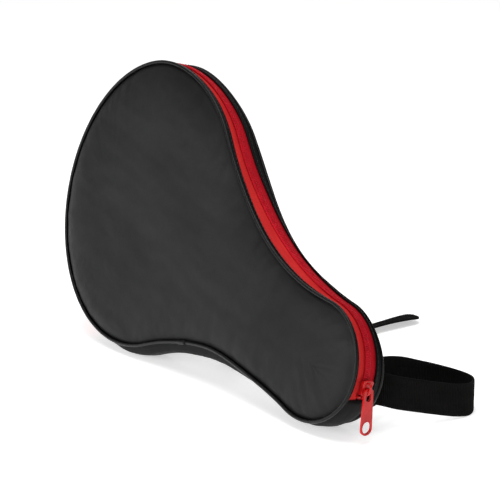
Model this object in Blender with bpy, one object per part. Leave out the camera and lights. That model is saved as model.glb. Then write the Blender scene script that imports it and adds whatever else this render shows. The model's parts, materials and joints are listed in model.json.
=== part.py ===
"""Zipped soft case for one table tennis bat, standing on its long lower edge and leaning back.

The case is built flat in its own frame: x runs from the head to the handle, z across the case
towards the zipper, and y through its thickness from the front face to the back face. Three nested
empties then tilt it along its edge, lean it back and move the whole to the middle of its footprint.
The two straps are built where they lie, with x along the standing edge and z up.
Lengths are in metres.
"""

import math

import bmesh
import bpy
from mathutils import Vector

# --- Outline of the case, at the centre of its piping ---
HEAD_HALF_LENGTH = 0.0845
HEAD_HALF_WIDTH = 0.0925
HANDLE_RADIUS = 0.035
HANDLE_OFFSET = 0.1885
NECK_RADIUS = 0.182
CASE_DEPTH = 0.0235
LEAN_BACK = math.radians(13.0)

# --- Where the zipper runs round the outline ---
ZIPPER_END = math.radians(-9.0)
COIL_END = math.radians(-1.5)
COIL_START = math.radians(256.2)
ZIPPER_START = math.radians(258.0)
ZIPPER_CENTRE_Y = 0.0107

# --- Cloth, padding and trim ---
GAP = 0.0003
FABRIC = 0.0008
FOAM = 0.003
LINING = 0.0005
PIPING_RADIUS = 0.0016
PIPING_WALL = 0.0005
CORD_RADIUS = 0.0008
PIPING_SLIT = math.radians(60.0)
PANEL_INSET = 0.002
PADDING_INSET = 0.0045
BINDING_WIDTH = 0.002
BINDING_INSET = 0.0019
GUSSET_EDGE = PIPING_RADIUS + GAP
GUSSET_BULGE = 0.0015
STRIP_FRONT_EDGE = 0.0042
STRIP_REAR_EDGE = 0.0166

# --- Zipper ---
TAPE_THICKNESS = 0.0006
TAPE_SEAM_MARGIN = 0.0022
COIL_WIDTH = 0.0022
COIL_GAP = 0.0014
COIL_HEIGHT = 0.002
STOP_LENGTH = 0.0016
SLIDER_LENGTH = 0.0095
SLIDER_WIDTH = 0.008
SLIDER_PLATE = 0.001
SLIDER_TOP = 0.0021
SLIDER_BOTTOM = -0.0024
SLIDER_BEVEL = 0.0003
POST_THICKNESS = 0.001
POST_LENGTH = 0.0016
SLIDER_ANGLE = math.radians(7.0)
BRIDGE_LENGTH = 0.0066
BRIDGE_WIDTH = 0.0014
BRIDGE_HEIGHT = 0.0026
BRIDGE_WALL = 0.0009
PULL_LENGTH = 0.0272
PULL_WIDTH = 0.007
PULL_THICKNESS = 0.0012
PULL_EYE_WIDTH = 0.004
PULL_EYE_LENGTH = 0.005
PULL_HOLE_WIDTH = 0.0046
PULL_HOLE_LENGTH = 0.0076
PULL_SLACK = math.radians(9.0)

# --- Straps ---
WRIST_STRAP_WIDTH = 0.02
REAR_STRAP_WIDTH = 0.015
WEBBING_THICKNESS = 0.0015
WRIST_STRAP_STEPS = 3
REAR_STRAP_STEPS = 2
WRIST_STRAP_ROUTE = [
    (0.2030, 0.0125, 0.0148),
    (0.2080, 0.0165, 0.0138),
    (0.2122, 0.0215, 0.0122),
    (0.2150, 0.0330, 0.0088),
    (0.2180, 0.0465, 0.0050),
    (0.2208, 0.0600, 0.0015),
    (0.2215, 0.0710, 0.0),
    (0.2150, 0.0800, 0.0),
    (0.2055, 0.0800, 0.0010),
    (0.1985, 0.0700, 0.0050),
    (0.1945, 0.0560, 0.0100),
    (0.1940, 0.0420, 0.0150),
    (0.1955, 0.0270, 0.0185),
    (0.2012, 0.0137, 0.0200),
]
REAR_STRAP_ROUTE = [
    (0.0585, 0.0095, 0.0190),
    (0.0585, 0.0170, 0.0130),
    (0.0585, 0.0300, 0.0050),
    (0.0585, 0.0500, 0.0012),
    (0.0585, 0.0800, 0.0),
    (0.0585, 0.1100, 0.0),
    (0.0585, 0.1400, 0.0008),
    (0.0590, 0.1600, 0.0018),
    (0.0595, 0.1765, 0.0025),
]
REAR_STRAP_ROLL = math.radians(15.0)

# --- Number of straight runs in each stretch of the outline ---
HANDLE_RUNS = 7
NECK_RUNS = 7
HEAD_RUNS = 19
LOWER_HEAD_RUNS = 6

BLACK_NYLON = ((0.032, 0.032, 0.034, 1.0), 0.55, 0.0)
BLACK_PIPING = ((0.02, 0.02, 0.021, 1.0), 0.35, 0.0)
WHITE_CORD = ((0.7, 0.7, 0.68, 1.0), 0.8, 0.0)
GREY_FOAM = ((0.25, 0.25, 0.26, 1.0), 0.9, 0.0)
BLACK_LINING = ((0.015, 0.015, 0.016, 1.0), 0.8, 0.0)
RED_TAPE = ((0.62, 0.015, 0.02, 1.0), 0.7, 0.0)
RED_COIL = ((0.45, 0.008, 0.015, 1.0), 0.4, 0.0)
RED_LACQUER = ((0.6, 0.02, 0.025, 1.0), 0.3, 0.3)
BLACK_WEBBING = ((0.012, 0.012, 0.012, 1.0), 0.75, 0.0)


# --------------------------------------------------------------------------- helpers


def clear_scene():
    for item in list(bpy.data.objects):
        bpy.data.objects.remove(item, do_unlink=True)


def material(name, finish):
    """A Principled material with a colour, a roughness and a metallic value."""
    colour, roughness, metallic = finish
    mat = bpy.data.materials.new(name)
    mat.use_nodes = True
    shader = mat.node_tree.nodes["Principled BSDF"]
    shader.inputs["Base Color"].default_value = colour
    shader.inputs["Roughness"].default_value = roughness
    shader.inputs["Metallic"].default_value = metallic
    mat.diffuse_color = colour
    return mat


def add_empty(name, parent=None):
    empty = bpy.data.objects.new(name, None)
    bpy.context.scene.collection.objects.link(empty)
    empty.parent = parent
    return empty


def add_object(name, mesh_data, finish, parent, smooth=True):
    """Links a closed bmesh as a named object with outward faces and its own material."""
    bmesh.ops.recalc_face_normals(mesh_data, faces=mesh_data.faces)
    mesh = bpy.data.meshes.new(name)
    mesh_data.to_mesh(mesh)
    mesh_data.free()
    item = bpy.data.objects.new(name, mesh)
    bpy.context.scene.collection.objects.link(item)
    item.parent = parent
    mesh.materials.append(material(name, finish))
    if smooth:
        mesh.shade_smooth()
        mesh.set_sharp_from_angle(angle=math.radians(40.0))
    return item


# --------------------------------------------------------------------------- outline


def neck_joint():
    """Ellipse angle where the neck arc leaves the head, and the centre of that arc.

    The arc touches the head ellipse and the handle circle from outside. Its centre is one neck
    radius out from the ellipse, so the angle is found where it is also that far from the handle.
    """
    low = math.radians(5.0)
    high = math.radians(90.0)
    for _ in range(60):
        angle = (low + high) / 2.0
        centre = ellipse_point(angle) + ellipse_normal(angle) * NECK_RADIUS
        reach = (centre - Vector((HANDLE_OFFSET, 0.0))).length
        if reach < HANDLE_RADIUS + NECK_RADIUS:
            low = angle
        else:
            high = angle
    return angle, centre


def ellipse_point(angle):
    return Vector((HEAD_HALF_LENGTH * math.cos(angle), HEAD_HALF_WIDTH * math.sin(angle)))


def ellipse_normal(angle):
    return Vector((math.cos(angle) / HEAD_HALF_LENGTH, math.sin(angle) / HEAD_HALF_WIDTH)).normalized()


def spread(start, end, runs):
    """Evenly spaced values after start, up to and with end."""
    return [start + (end - start) * step / runs for step in range(1, runs + 1)]


def handle_station(angle):
    normal = Vector((math.cos(angle), math.sin(angle)))
    return Vector((HANDLE_OFFSET, 0.0)) + normal * HANDLE_RADIUS, normal


def head_station(angle):
    return ellipse_point(angle), ellipse_normal(angle)


def neck_stations(side, joint, centre, handle_angle):
    """Stations of one neck arc from the handle to the head; side is 1 above and -1 below."""
    start = math.atan2(-math.sin(handle_angle), -math.cos(handle_angle))
    out = ellipse_point(joint) - centre
    end = math.atan2(out.y, out.x)
    stations = []
    for angle in spread(start, end, NECK_RUNS):
        inward = Vector((math.cos(angle), math.sin(angle)))
        point = centre + inward * NECK_RADIUS
        stations.append((Vector((point.x, side * point.y)), Vector((-inward.x, side * -inward.y))))
    return stations


def outline_stations():
    """The closed outline as (point, outward normal) pairs, from the zipper's end upwards and round.

    Returns the stations and the number of the one at the zipper's start.
    """
    joint, centre = neck_joint()
    handle_angle = math.atan2(centre.y, centre.x - HANDLE_OFFSET)
    stations = [handle_station(ZIPPER_END), handle_station(COIL_END)]
    stations += [handle_station(a) for a in spread(COIL_END, handle_angle, HANDLE_RUNS)]
    stations += neck_stations(1, joint, centre, handle_angle)
    stations += [head_station(a) for a in spread(joint, COIL_START, HEAD_RUNS)]
    stations += [head_station(ZIPPER_START)]
    zipper_start = len(stations) - 1
    stations += [head_station(a) for a in spread(ZIPPER_START, 2.0 * math.pi - joint, LOWER_HEAD_RUNS)]
    lower_neck = neck_stations(-1, joint, centre, handle_angle)
    stations += list(reversed(lower_neck[:-1]))
    stations += [handle_station(-handle_angle)]
    stations += [handle_station(a) for a in spread(-handle_angle, ZIPPER_END, HANDLE_RUNS)][:-1]
    return stations, zipper_start


def standing_tilt():
    """Angle of the line that touches the head and the handle from below, and its depth.

    The depth is the distance from the head's centre down to that line.
    """
    low = 0.0
    high = math.radians(60.0)
    for _ in range(60):
        tilt = (low + high) / 2.0
        head_depth = math.hypot(HEAD_HALF_LENGTH * math.sin(tilt), HEAD_HALF_WIDTH * math.cos(tilt))
        handle_depth = HANDLE_OFFSET * math.sin(tilt) + HANDLE_RADIUS
        if handle_depth < head_depth:
            low = tilt
        else:
            high = tilt
    return tilt, head_depth


STATIONS, ZIPPER_START_STATION = outline_stations()
TILT, STANDING_DEPTH = standing_tilt()


# --------------------------------------------------------------------------- swept shapes


def ring_vertices(mesh_data, station, profile, shift=0.0):
    """Vertices of one cross-section: profile holds (outward offset, y) pairs."""
    point, normal = station
    along = Vector((-normal.y, normal.x)) * shift
    vertices = []
    for offset, depth in profile:
        place = point + normal * offset + along
        vertices.append(mesh_data.verts.new((place.x, depth, place.y)))
    return vertices


def join_sections(mesh_data, first, second):
    count = len(first)
    for corner in range(count):
        following = (corner + 1) % count
        mesh_data.faces.new((first[corner], first[following], second[following], second[corner]))


def closed_ring(name, profile, finish, parent):
    """A profile swept all the way round the outline."""
    mesh_data = bmesh.new()
    sections = [ring_vertices(mesh_data, station, profile) for station in STATIONS]
    for index, section in enumerate(sections):
        join_sections(mesh_data, section, sections[(index + 1) % len(sections)])
    return add_object(name, mesh_data, finish, parent)


def open_strip(name, profile, first, last, finish, parent):
    """A profile swept along part of the outline, its two ends trimmed by half a gap."""
    mesh_data = bmesh.new()
    count = (last - first) % len(STATIONS)
    sections = []
    for step in range(count + 1):
        shift = {0: GAP / 2.0, count: -GAP / 2.0}.get(step, 0.0)
        station = STATIONS[(first + step) % len(STATIONS)]
        sections.append(ring_vertices(mesh_data, station, profile, shift))
    for index in range(count):
        join_sections(mesh_data, sections[index], sections[index + 1])
    mesh_data.faces.new(sections[0])
    mesh_data.faces.new(list(reversed(sections[-1])))
    return add_object(name, mesh_data, finish, parent)


def plate(name, inset, front, back, finish, parent):
    """A flat sheet of the outline's shape, inset from the piping, between two depths."""
    mesh_data = bmesh.new()
    profile = [(-inset, front), (-inset, back)]
    sections = [ring_vertices(mesh_data, station, profile) for station in STATIONS]
    for index, section in enumerate(sections):
        following = sections[(index + 1) % len(sections)]
        mesh_data.faces.new((section[0], section[1], following[1], following[0]))
    caps = [mesh_data.faces.new([section[side] for section in sections]) for side in (0, 1)]
    bmesh.ops.triangulate(mesh_data, faces=caps)
    return add_object(name, mesh_data, finish, parent)


def box_profile(inner, outer, front, back):
    return [(inner, front), (outer, front), (outer, back), (inner, back)]


def piping_profile(centre_y, inward_y):
    """A C round the piping cord, its slit facing into the case; inward_y is 1 or -1."""
    slit = math.atan2(inward_y, -1.0)
    start = slit + PIPING_SLIT / 2.0
    end = slit - PIPING_SLIT / 2.0 + 2.0 * math.pi
    angles = [start] + spread(start, end, 6)
    outer = [(PIPING_RADIUS * math.cos(a), centre_y + PIPING_RADIUS * math.sin(a)) for a in angles]
    hollow = PIPING_RADIUS - PIPING_WALL
    inner = [(hollow * math.cos(a), centre_y + hollow * math.sin(a)) for a in reversed(angles)]
    return outer + inner


def round_profile(radius, centre_y, corners):
    angles = [2.0 * math.pi * corner / corners for corner in range(corners)]
    return [(radius * math.cos(a), centre_y + radius * math.sin(a)) for a in angles]


# --------------------------------------------------------------------------- the case


def build_face(side, parent):
    """One face of the case: panel, padding, lining, piping and seam binding."""
    from_face = (lambda depth: depth) if side == "front" else (lambda depth: CASE_DEPTH - depth)
    inward = 1.0 if side == "front" else -1.0
    foam_start = FABRIC / 2.0 + GAP
    lining_start = foam_start + FOAM + GAP
    plate(
        side + "_panel",
        PANEL_INSET,
        from_face(-FABRIC / 2.0),
        from_face(FABRIC / 2.0),
        BLACK_NYLON,
        parent,
    )
    plate(
        side + "_foam",
        PADDING_INSET,
        from_face(foam_start),
        from_face(foam_start + FOAM),
        GREY_FOAM,
        parent,
    )
    plate(
        side + "_lining",
        PADDING_INSET,
        from_face(lining_start),
        from_face(lining_start + LINING),
        BLACK_LINING,
        parent,
    )
    closed_ring(side + "_piping", piping_profile(from_face(0.0), inward), BLACK_PIPING, parent)
    cord = round_profile(CORD_RADIUS, from_face(0.0), 6)
    closed_ring(side + "_piping_cord", cord, WHITE_CORD, parent)
    binding = box_profile(
        -BINDING_INSET - BINDING_WIDTH,
        -BINDING_INSET,
        from_face(foam_start + GAP),
        from_face(foam_start + GAP + BINDING_WIDTH),
    )
    closed_ring(side + "_binding", binding, BLACK_LINING, parent)


def build_gusset(parent):
    """The plain side wall, from the zipper's start along the lower edge to the zipper's end."""
    front = GUSSET_EDGE
    back = CASE_DEPTH - GUSSET_EDGE
    middle = CASE_DEPTH / 2.0
    half = FABRIC / 2.0
    profile = [
        (-half, front),
        (half, front),
        (half + GUSSET_BULGE, middle),
        (half, back),
        (-half, back),
        (-half + GUSSET_BULGE, middle),
    ]
    open_strip("gusset", profile, ZIPPER_START_STATION, len(STATIONS), BLACK_NYLON, parent)


def zipper_strip(name, profile, finish, parent):
    """A band along the whole length of the zipper."""
    return open_strip(name, profile, 0, ZIPPER_START_STATION, finish, parent)


def coil_strip(name, profile, parent):
    """A coil: it runs from stop to stop, one station short of the zipper's ends."""
    return open_strip(name, profile, 1, ZIPPER_START_STATION - 1, RED_COIL, parent)


def build_zipper(parent):
    """Strips, tapes, coils and stops of the two halves of the zipper."""
    half = FABRIC / 2.0
    tape_outer = -half - GAP
    tape_inner = tape_outer - TAPE_THICKNESS
    coil_inner = tape_outer + GAP
    coil_outer = coil_inner + COIL_HEIGHT
    front_coil_edge = ZIPPER_CENTRE_Y - COIL_GAP / 2.0
    back_coil_edge = ZIPPER_CENTRE_Y + COIL_GAP / 2.0
    rear_edge = CASE_DEPTH - GUSSET_EDGE
    front_strip = box_profile(-half, half, GUSSET_EDGE, STRIP_FRONT_EDGE)
    rear_strip = box_profile(-half, half, STRIP_REAR_EDGE, rear_edge)
    zipper_strip("front_zipper_strip", front_strip, BLACK_NYLON, parent)
    zipper_strip("rear_zipper_strip", rear_strip, BLACK_NYLON, parent)
    front_tape = box_profile(
        tape_inner, tape_outer, STRIP_FRONT_EDGE - TAPE_SEAM_MARGIN, front_coil_edge - GAP
    )
    rear_tape = box_profile(
        tape_inner, tape_outer, back_coil_edge + GAP, STRIP_REAR_EDGE + TAPE_SEAM_MARGIN
    )
    zipper_strip("front_zipper_tape", front_tape, RED_TAPE, parent)
    zipper_strip("rear_zipper_tape", rear_tape, RED_TAPE, parent)
    front_coil = box_profile(coil_inner, coil_outer, front_coil_edge - COIL_WIDTH, front_coil_edge)
    rear_coil = box_profile(coil_inner, coil_outer, back_coil_edge, back_coil_edge + COIL_WIDTH)
    coil_strip("front_coil", front_coil, parent)
    coil_strip("rear_coil", rear_coil, parent)
    end_angle = COIL_END - (STOP_LENGTH + GAP) / HANDLE_RADIUS
    end_station = handle_station(end_angle)
    front_middle = front_coil_edge - COIL_WIDTH / 2.0
    rear_middle = back_coil_edge + COIL_WIDTH / 2.0
    build_stop("front_end_stop", end_station, front_middle, COIL_WIDTH, parent)
    build_stop("rear_end_stop", end_station, rear_middle, COIL_WIDTH, parent)
    start_station = head_station((COIL_START + ZIPPER_START) / 2.0)
    build_stop("start_stop", start_station, ZIPPER_CENTRE_Y, 2.0 * COIL_WIDTH + COIL_GAP, parent)


def build_stop(name, station, centre_y, width, parent):
    """A clip on the tape at the end of a coil, which stops the slider."""
    size = (COIL_HEIGHT, width, STOP_LENGTH)
    foot = -FABRIC / 2.0
    stop = box_object(name, size, (foot + COIL_HEIGHT / 2.0, 0.0, 0.0), RED_LACQUER, parent)
    place_on_outline(stop, station, centre_y)


def place_on_outline(item, station, centre_y):
    """Puts an object's origin on the outline, its x axis outward and y through the case."""
    point, normal = station
    item.location = (point.x, centre_y, point.y)
    item.rotation_euler = (0.0, -math.atan2(normal.y, normal.x), 0.0)


def box_object(name, size, centre, finish, parent, bevel=0.0):
    """A box, with its edges rounded where a bevel is given."""
    mesh_data = bmesh.new()
    bmesh.ops.create_cube(mesh_data, size=1.0)
    bmesh.ops.scale(mesh_data, vec=size, verts=mesh_data.verts)
    bmesh.ops.translate(mesh_data, vec=centre, verts=mesh_data.verts)
    if bevel > 0.0:
        edges = mesh_data.edges[:]
        bmesh.ops.bevel(mesh_data, geom=edges, offset=bevel, segments=1, affect="EDGES")
    return add_object(name, mesh_data, finish, parent, smooth=False)


# --------------------------------------------------------------------------- slider and pull


def hide_tool(item):
    item.hide_render = True
    item.display_type = "WIRE"


def add_boolean(target, tool, operation):
    modifier = target.modifiers.new(tool.name, "BOOLEAN")
    modifier.operation = operation
    modifier.solver = "EXACT"
    modifier.object = tool
    hide_tool(tool)


def build_slider(slider_frame):
    """Two plates round the coils, joined by a post, with an open bridge on top for the pull."""
    top_centre = SLIDER_TOP + SLIDER_PLATE / 2.0
    bottom_centre = SLIDER_BOTTOM - SLIDER_PLATE / 2.0
    size = (SLIDER_PLATE, SLIDER_WIDTH, SLIDER_LENGTH)
    top = (top_centre, 0.0, 0.0)
    body = box_object("slider_body", size, top, RED_LACQUER, slider_frame, SLIDER_BEVEL)
    bottom = box_object("slider_bottom_tool", size, (bottom_centre, 0.0, 0.0), RED_LACQUER, slider_frame)
    post_height = SLIDER_TOP - SLIDER_BOTTOM + SLIDER_PLATE
    post_centre = (SLIDER_TOP + SLIDER_BOTTOM) / 2.0
    post_z = -SLIDER_LENGTH / 2.0 + POST_LENGTH
    post = box_object(
        "slider_post_tool",
        (post_height, POST_THICKNESS, POST_LENGTH),
        (post_centre, 0.0, post_z),
        RED_LACQUER,
        slider_frame,
    )
    bridge = build_bridge(slider_frame)
    for tool in (bottom, post, bridge):
        add_boolean(body, tool, "UNION")


def bridge_outline(half_length, height, corner):
    """Half an octagon standing on the top plate, as (x, z) pairs."""
    return [
        (0.0, -half_length),
        (height - corner, -half_length),
        (height, -half_length + corner),
        (height, half_length - corner),
        (height - corner, half_length),
        (0.0, half_length),
    ]


def build_bridge(slider_frame):
    """The arch that holds the pull, as one bent bar."""
    base = SLIDER_TOP + SLIDER_PLATE
    outer = bridge_outline(BRIDGE_LENGTH / 2.0, BRIDGE_HEIGHT + BRIDGE_WALL, BRIDGE_WALL)
    inner = bridge_outline(BRIDGE_LENGTH / 2.0 - BRIDGE_WALL, BRIDGE_HEIGHT, BRIDGE_WALL / 2.0)
    sink = SLIDER_PLATE / 2.0
    mesh_data = bmesh.new()
    rows = []
    for side in (-0.5, 0.5):
        row = []
        for x, z in outer + list(reversed(inner)):
            height = base + x - (sink if x == 0.0 else 0.0)
            row.append(mesh_data.verts.new((height, side * BRIDGE_WIDTH, z)))
        rows.append(row)
    join_sections(mesh_data, rows[0], rows[1])
    mesh_data.faces.new(rows[0])
    mesh_data.faces.new(list(reversed(rows[1])))
    return add_object("slider_bridge_tool", mesh_data, RED_LACQUER, slider_frame, smooth=False)


def rounded_slot(width, length, corners):
    """A slot outline with round ends, as (y, z) pairs about its centre."""
    radius = width / 2.0
    straight = (length - width) / 2.0
    points = []
    for end in (1.0, -1.0):
        for step in range(corners + 1):
            angle = math.pi * step / corners + (0.0 if end > 0.0 else math.pi)
            points.append((radius * math.cos(angle), end * straight + radius * math.sin(angle)))
    return points


def slot_prism(name, outline, centre_z, thickness, finish, parent):
    """An outline in the y-z plane made thick along x."""
    mesh_data = bmesh.new()
    rows = []
    for side in (-0.5, 0.5):
        rows.append([mesh_data.verts.new((side * thickness, y, z + centre_z)) for y, z in outline])
    join_sections(mesh_data, rows[0], rows[1])
    mesh_data.faces.new(rows[0])
    mesh_data.faces.new(list(reversed(rows[1])))
    return add_object(name, mesh_data, finish, parent, smooth=False)


def build_pull(pull_frame):
    """The pull tab: a flat bar with an eye round the bridge and an oval finger hole."""
    top_margin = PULL_THICKNESS / 2.0
    centre = top_margin - PULL_LENGTH / 2.0
    body = slot_prism(
        "pull_tab",
        rounded_slot(PULL_WIDTH, PULL_LENGTH, 6),
        centre,
        PULL_THICKNESS,
        RED_LACQUER,
        pull_frame,
    )
    eye_z = -top_margin - PULL_EYE_LENGTH / 2.0
    eye = rounded_slot(PULL_EYE_WIDTH, PULL_EYE_LENGTH, 6)
    hole_z = -PULL_LENGTH + PULL_WIDTH / 2.0 + PULL_HOLE_LENGTH / 2.0 - PULL_HOLE_WIDTH / 2.0
    hole = rounded_slot(PULL_HOLE_WIDTH, PULL_HOLE_LENGTH, 5)
    depth = PULL_THICKNESS * 3.0
    for name, outline, place in (("pull_eye_tool", eye, eye_z), ("pull_hole_tool", hole, hole_z)):
        tool = slot_prism(name, outline, place, depth, RED_LACQUER, pull_frame)
        add_boolean(body, tool, "DIFFERENCE")


# --------------------------------------------------------------------------- straps


def smooth_route(points, steps):
    """Points along a smooth curve through the given points (a Catmull-Rom spline)."""
    route = []
    for index in range(len(points) - 1):
        before = Vector(points[max(index - 1, 0)])
        start = Vector(points[index])
        end = Vector(points[index + 1])
        after = Vector(points[min(index + 2, len(points) - 1)])
        for step in range(steps):
            t = step / steps
            route.append(
                0.5
                * (
                    2.0 * start
                    + (end - before) * t
                    + (2.0 * before - 5.0 * start + 4.0 * end - after) * t * t
                    + (3.0 * start - 3.0 * end + after - before) * t * t * t
                )
            )
    route.append(Vector(points[-1]))
    return route


def webbing(name, route, strap_width, across, parent):
    """A band of webbing with one edge on route.

    The width direction is across(direction, progress), where progress runs from 0 to 1.
    """
    mesh_data = bmesh.new()
    sections = []
    last = len(route) - 1
    for index, point in enumerate(route):
        direction = (route[min(index + 1, last)] - route[max(index - 1, 0)]).normalized()
        width = across(direction, index / last) * strap_width
        thick = direction.cross(width).normalized() * (WEBBING_THICKNESS / 2.0)
        corners = (point - thick, point + thick, point + thick + width, point - thick + width)
        sections.append([mesh_data.verts.new(corner) for corner in corners])
    for index in range(len(sections) - 1):
        join_sections(mesh_data, sections[index], sections[index + 1])
    mesh_data.faces.new(sections[0])
    mesh_data.faces.new(list(reversed(sections[-1])))
    return add_object(name, mesh_data, BLACK_WEBBING, parent)


def upright(_direction, _progress):
    """Width direction of a band that stands on its edge."""
    return Vector((0.0, 0.0, 1.0))


def rolled_flat(direction, progress):
    """Width direction of a band that lies flat, its far edge raised towards its free end.

    The roll is nothing at the seam, greatest at seven tenths of the length and nothing at the tip.
    """
    roll = REAR_STRAP_ROLL * math.sin(math.pi * progress * progress)
    level = direction.cross(Vector((0.0, 0.0, 1.0))).normalized()
    return level * math.cos(roll) + Vector((0.0, 0.0, math.sin(roll)))


def build_straps(floor_frame):
    wrist = smooth_route(WRIST_STRAP_ROUTE, WRIST_STRAP_STEPS)
    webbing("wrist_strap", wrist, WRIST_STRAP_WIDTH, upright, floor_frame)
    rear = smooth_route(REAR_STRAP_ROUTE, REAR_STRAP_STEPS)
    lift = WEBBING_THICKNESS / 2.0
    raised = [point + Vector((0.0, 0.0, lift)) for point in rear]
    webbing("rear_strap", raised, REAR_STRAP_WIDTH, rolled_flat, floor_frame)


# --------------------------------------------------------------------------- assembly


def footprint_centre():
    """Middle of everything's bounds in x and y, and their lowest z."""
    bpy.context.view_layer.update()
    depsgraph = bpy.context.evaluated_depsgraph_get()
    low = Vector((1.0, 1.0, 1.0))
    high = Vector((-1.0, -1.0, -1.0))
    for item in bpy.context.scene.objects:
        if item.type != "MESH" or item.hide_render:
            continue
        shape = item.evaluated_get(depsgraph)
        for vertex in shape.data.vertices:
            place = shape.matrix_world @ vertex.co
            low = Vector(map(min, low, place))
            high = Vector(map(max, high, place))
    return Vector(((low.x + high.x) / 2.0, (low.y + high.y) / 2.0, low.z))


def build():
    clear_scene()
    footprint = add_empty("footprint")
    lean = add_empty("lean", footprint)
    lean.rotation_euler = (-LEAN_BACK, 0.0, 0.0)
    # The lower edge of the rear piping stands on the floor, straight under the origin.
    sole = Vector((0.0, CASE_DEPTH, -STANDING_DEPTH))
    sole_turned = Vector(
        (
            0.0,
            sole.y * math.cos(LEAN_BACK) + sole.z * math.sin(LEAN_BACK),
            -sole.y * math.sin(LEAN_BACK) + sole.z * math.cos(LEAN_BACK),
        )
    )
    lean.location = (0.0, -sole_turned.y, PIPING_RADIUS - sole_turned.z)
    case = add_empty("case", lean)
    case.rotation_euler = (0.0, TILT, 0.0)

    build_face("back", case)
    build_face("front", case)
    build_gusset(case)
    build_zipper(case)

    slider_frame = add_empty("slider_frame", case)
    place_on_outline(slider_frame, handle_station(SLIDER_ANGLE), ZIPPER_CENTRE_Y)
    build_slider(slider_frame)
    pull_frame = add_empty("pull_frame", slider_frame)
    pull_frame.location = (SLIDER_TOP + SLIDER_PLATE + BRIDGE_HEIGHT / 2.0, 0.0, 0.0)
    # The slider's angle and the case's tilt are undone, so that the tab hangs. Its slack on the
    # bridge also lets it turn within its own plane, against the lean of the case.
    pull_frame.rotation_euler = (PULL_SLACK, SLIDER_ANGLE - TILT, 0.0)
    build_pull(pull_frame)

    build_straps(footprint)
    middle = footprint_centre()
    footprint.location = (-middle.x, -middle.y, -middle.z)
    bpy.context.view_layer.update()


build()
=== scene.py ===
"""Looks of a zipped soft case for one table tennis bat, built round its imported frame.

The case's pieces are worked out flat, in its own axes: x from the head to the handle, y from the front
face to the back face and z across towards the zipper. CASE then puts them where the frame has them.
A place on the outline is a distance along it, from the zipper's end upwards round the handle and the
head, and an offset outwards. All lengths are in metres.
"""

import json
import math

import bmesh
import bpy
import numpy as np
from mathutils import Matrix, Vector, noise
from mathutils.bvhtree import BVHTree
from mathutils.geometry import delaunay_2d_cdt


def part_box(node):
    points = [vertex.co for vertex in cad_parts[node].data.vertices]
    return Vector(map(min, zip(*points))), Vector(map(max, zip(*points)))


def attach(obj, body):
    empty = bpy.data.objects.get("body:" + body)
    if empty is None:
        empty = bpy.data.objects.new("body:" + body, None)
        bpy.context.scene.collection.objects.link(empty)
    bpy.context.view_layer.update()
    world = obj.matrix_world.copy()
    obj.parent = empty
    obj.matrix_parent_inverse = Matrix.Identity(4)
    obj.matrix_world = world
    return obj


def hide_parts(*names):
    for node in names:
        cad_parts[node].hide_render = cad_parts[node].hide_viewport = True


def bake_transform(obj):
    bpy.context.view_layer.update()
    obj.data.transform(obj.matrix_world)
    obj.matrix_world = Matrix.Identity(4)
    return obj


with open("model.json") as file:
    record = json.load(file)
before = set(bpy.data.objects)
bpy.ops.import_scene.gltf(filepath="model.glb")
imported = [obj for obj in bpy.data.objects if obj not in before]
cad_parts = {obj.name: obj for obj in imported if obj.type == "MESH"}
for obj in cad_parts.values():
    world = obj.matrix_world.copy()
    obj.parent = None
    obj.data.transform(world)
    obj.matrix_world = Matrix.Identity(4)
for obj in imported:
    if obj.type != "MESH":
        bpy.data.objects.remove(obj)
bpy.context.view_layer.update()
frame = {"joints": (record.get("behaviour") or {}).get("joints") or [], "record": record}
JOINTS = {joint["name"]: joint for joint in frame["joints"]}

# --- Sizes shared with the CAD ---
HEAD_HALF_LENGTH = 0.0845
HEAD_HALF_WIDTH = 0.0925
HANDLE_RADIUS = 0.035
HANDLE_OFFSET = 0.1885
NECK_RADIUS = 0.182
CASE_DEPTH = 0.0235
FABRIC = 0.0008
LEAN_BACK = math.radians(13.0)
ZIPPER_END = math.radians(-9.0)
COIL_END = math.radians(-1.5)
COIL_START = math.radians(256.2)
ZIPPER_START = math.radians(258.0)
ZIPPER_CENTRE_Y = 0.0107
SLIDER_ANGLE = math.radians(7.0)
SLIDER_TOP = 0.0021
SLIDER_BOTTOM = -0.0024
SLIDER_PLATE = 0.001
SLIDER_LENGTH = 0.0095
SLIDER_WIDTH = 0.008
PULL_SLACK = math.radians(9.0)
STRAP_THICKNESS = 0.0015
WRIST_STRAP_WIDTH = 0.02
REAR_STRAP_WIDTH = 0.015
WRIST_STRAP_ROUTE = [
    (0.2030, 0.0125, 0.0148),
    (0.2080, 0.0165, 0.0138),
    (0.2122, 0.0215, 0.0122),
    (0.2150, 0.0330, 0.0088),
    (0.2180, 0.0465, 0.0050),
    (0.2208, 0.0600, 0.0015),
    (0.2215, 0.0710, 0.0),
    (0.2150, 0.0800, 0.0),
    (0.2055, 0.0800, 0.0010),
    (0.1985, 0.0700, 0.0050),
    (0.1945, 0.0560, 0.0100),
    (0.1940, 0.0420, 0.0150),
    (0.1955, 0.0270, 0.0185),
    (0.2012, 0.0137, 0.0200),
]
REAR_STRAP_ROUTE = [
    (0.0585, 0.0095, 0.0190),
    (0.0585, 0.0170, 0.0130),
    (0.0585, 0.0300, 0.0050),
    (0.0585, 0.0500, 0.0012),
    (0.0585, 0.0800, 0.0),
    (0.0585, 0.1100, 0.0),
    (0.0585, 0.1400, 0.0008),
    (0.0590, 0.1600, 0.0018),
    (0.0595, 0.1765, 0.0025),
]
REAR_STRAP_ROLL = math.radians(15.0)

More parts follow.
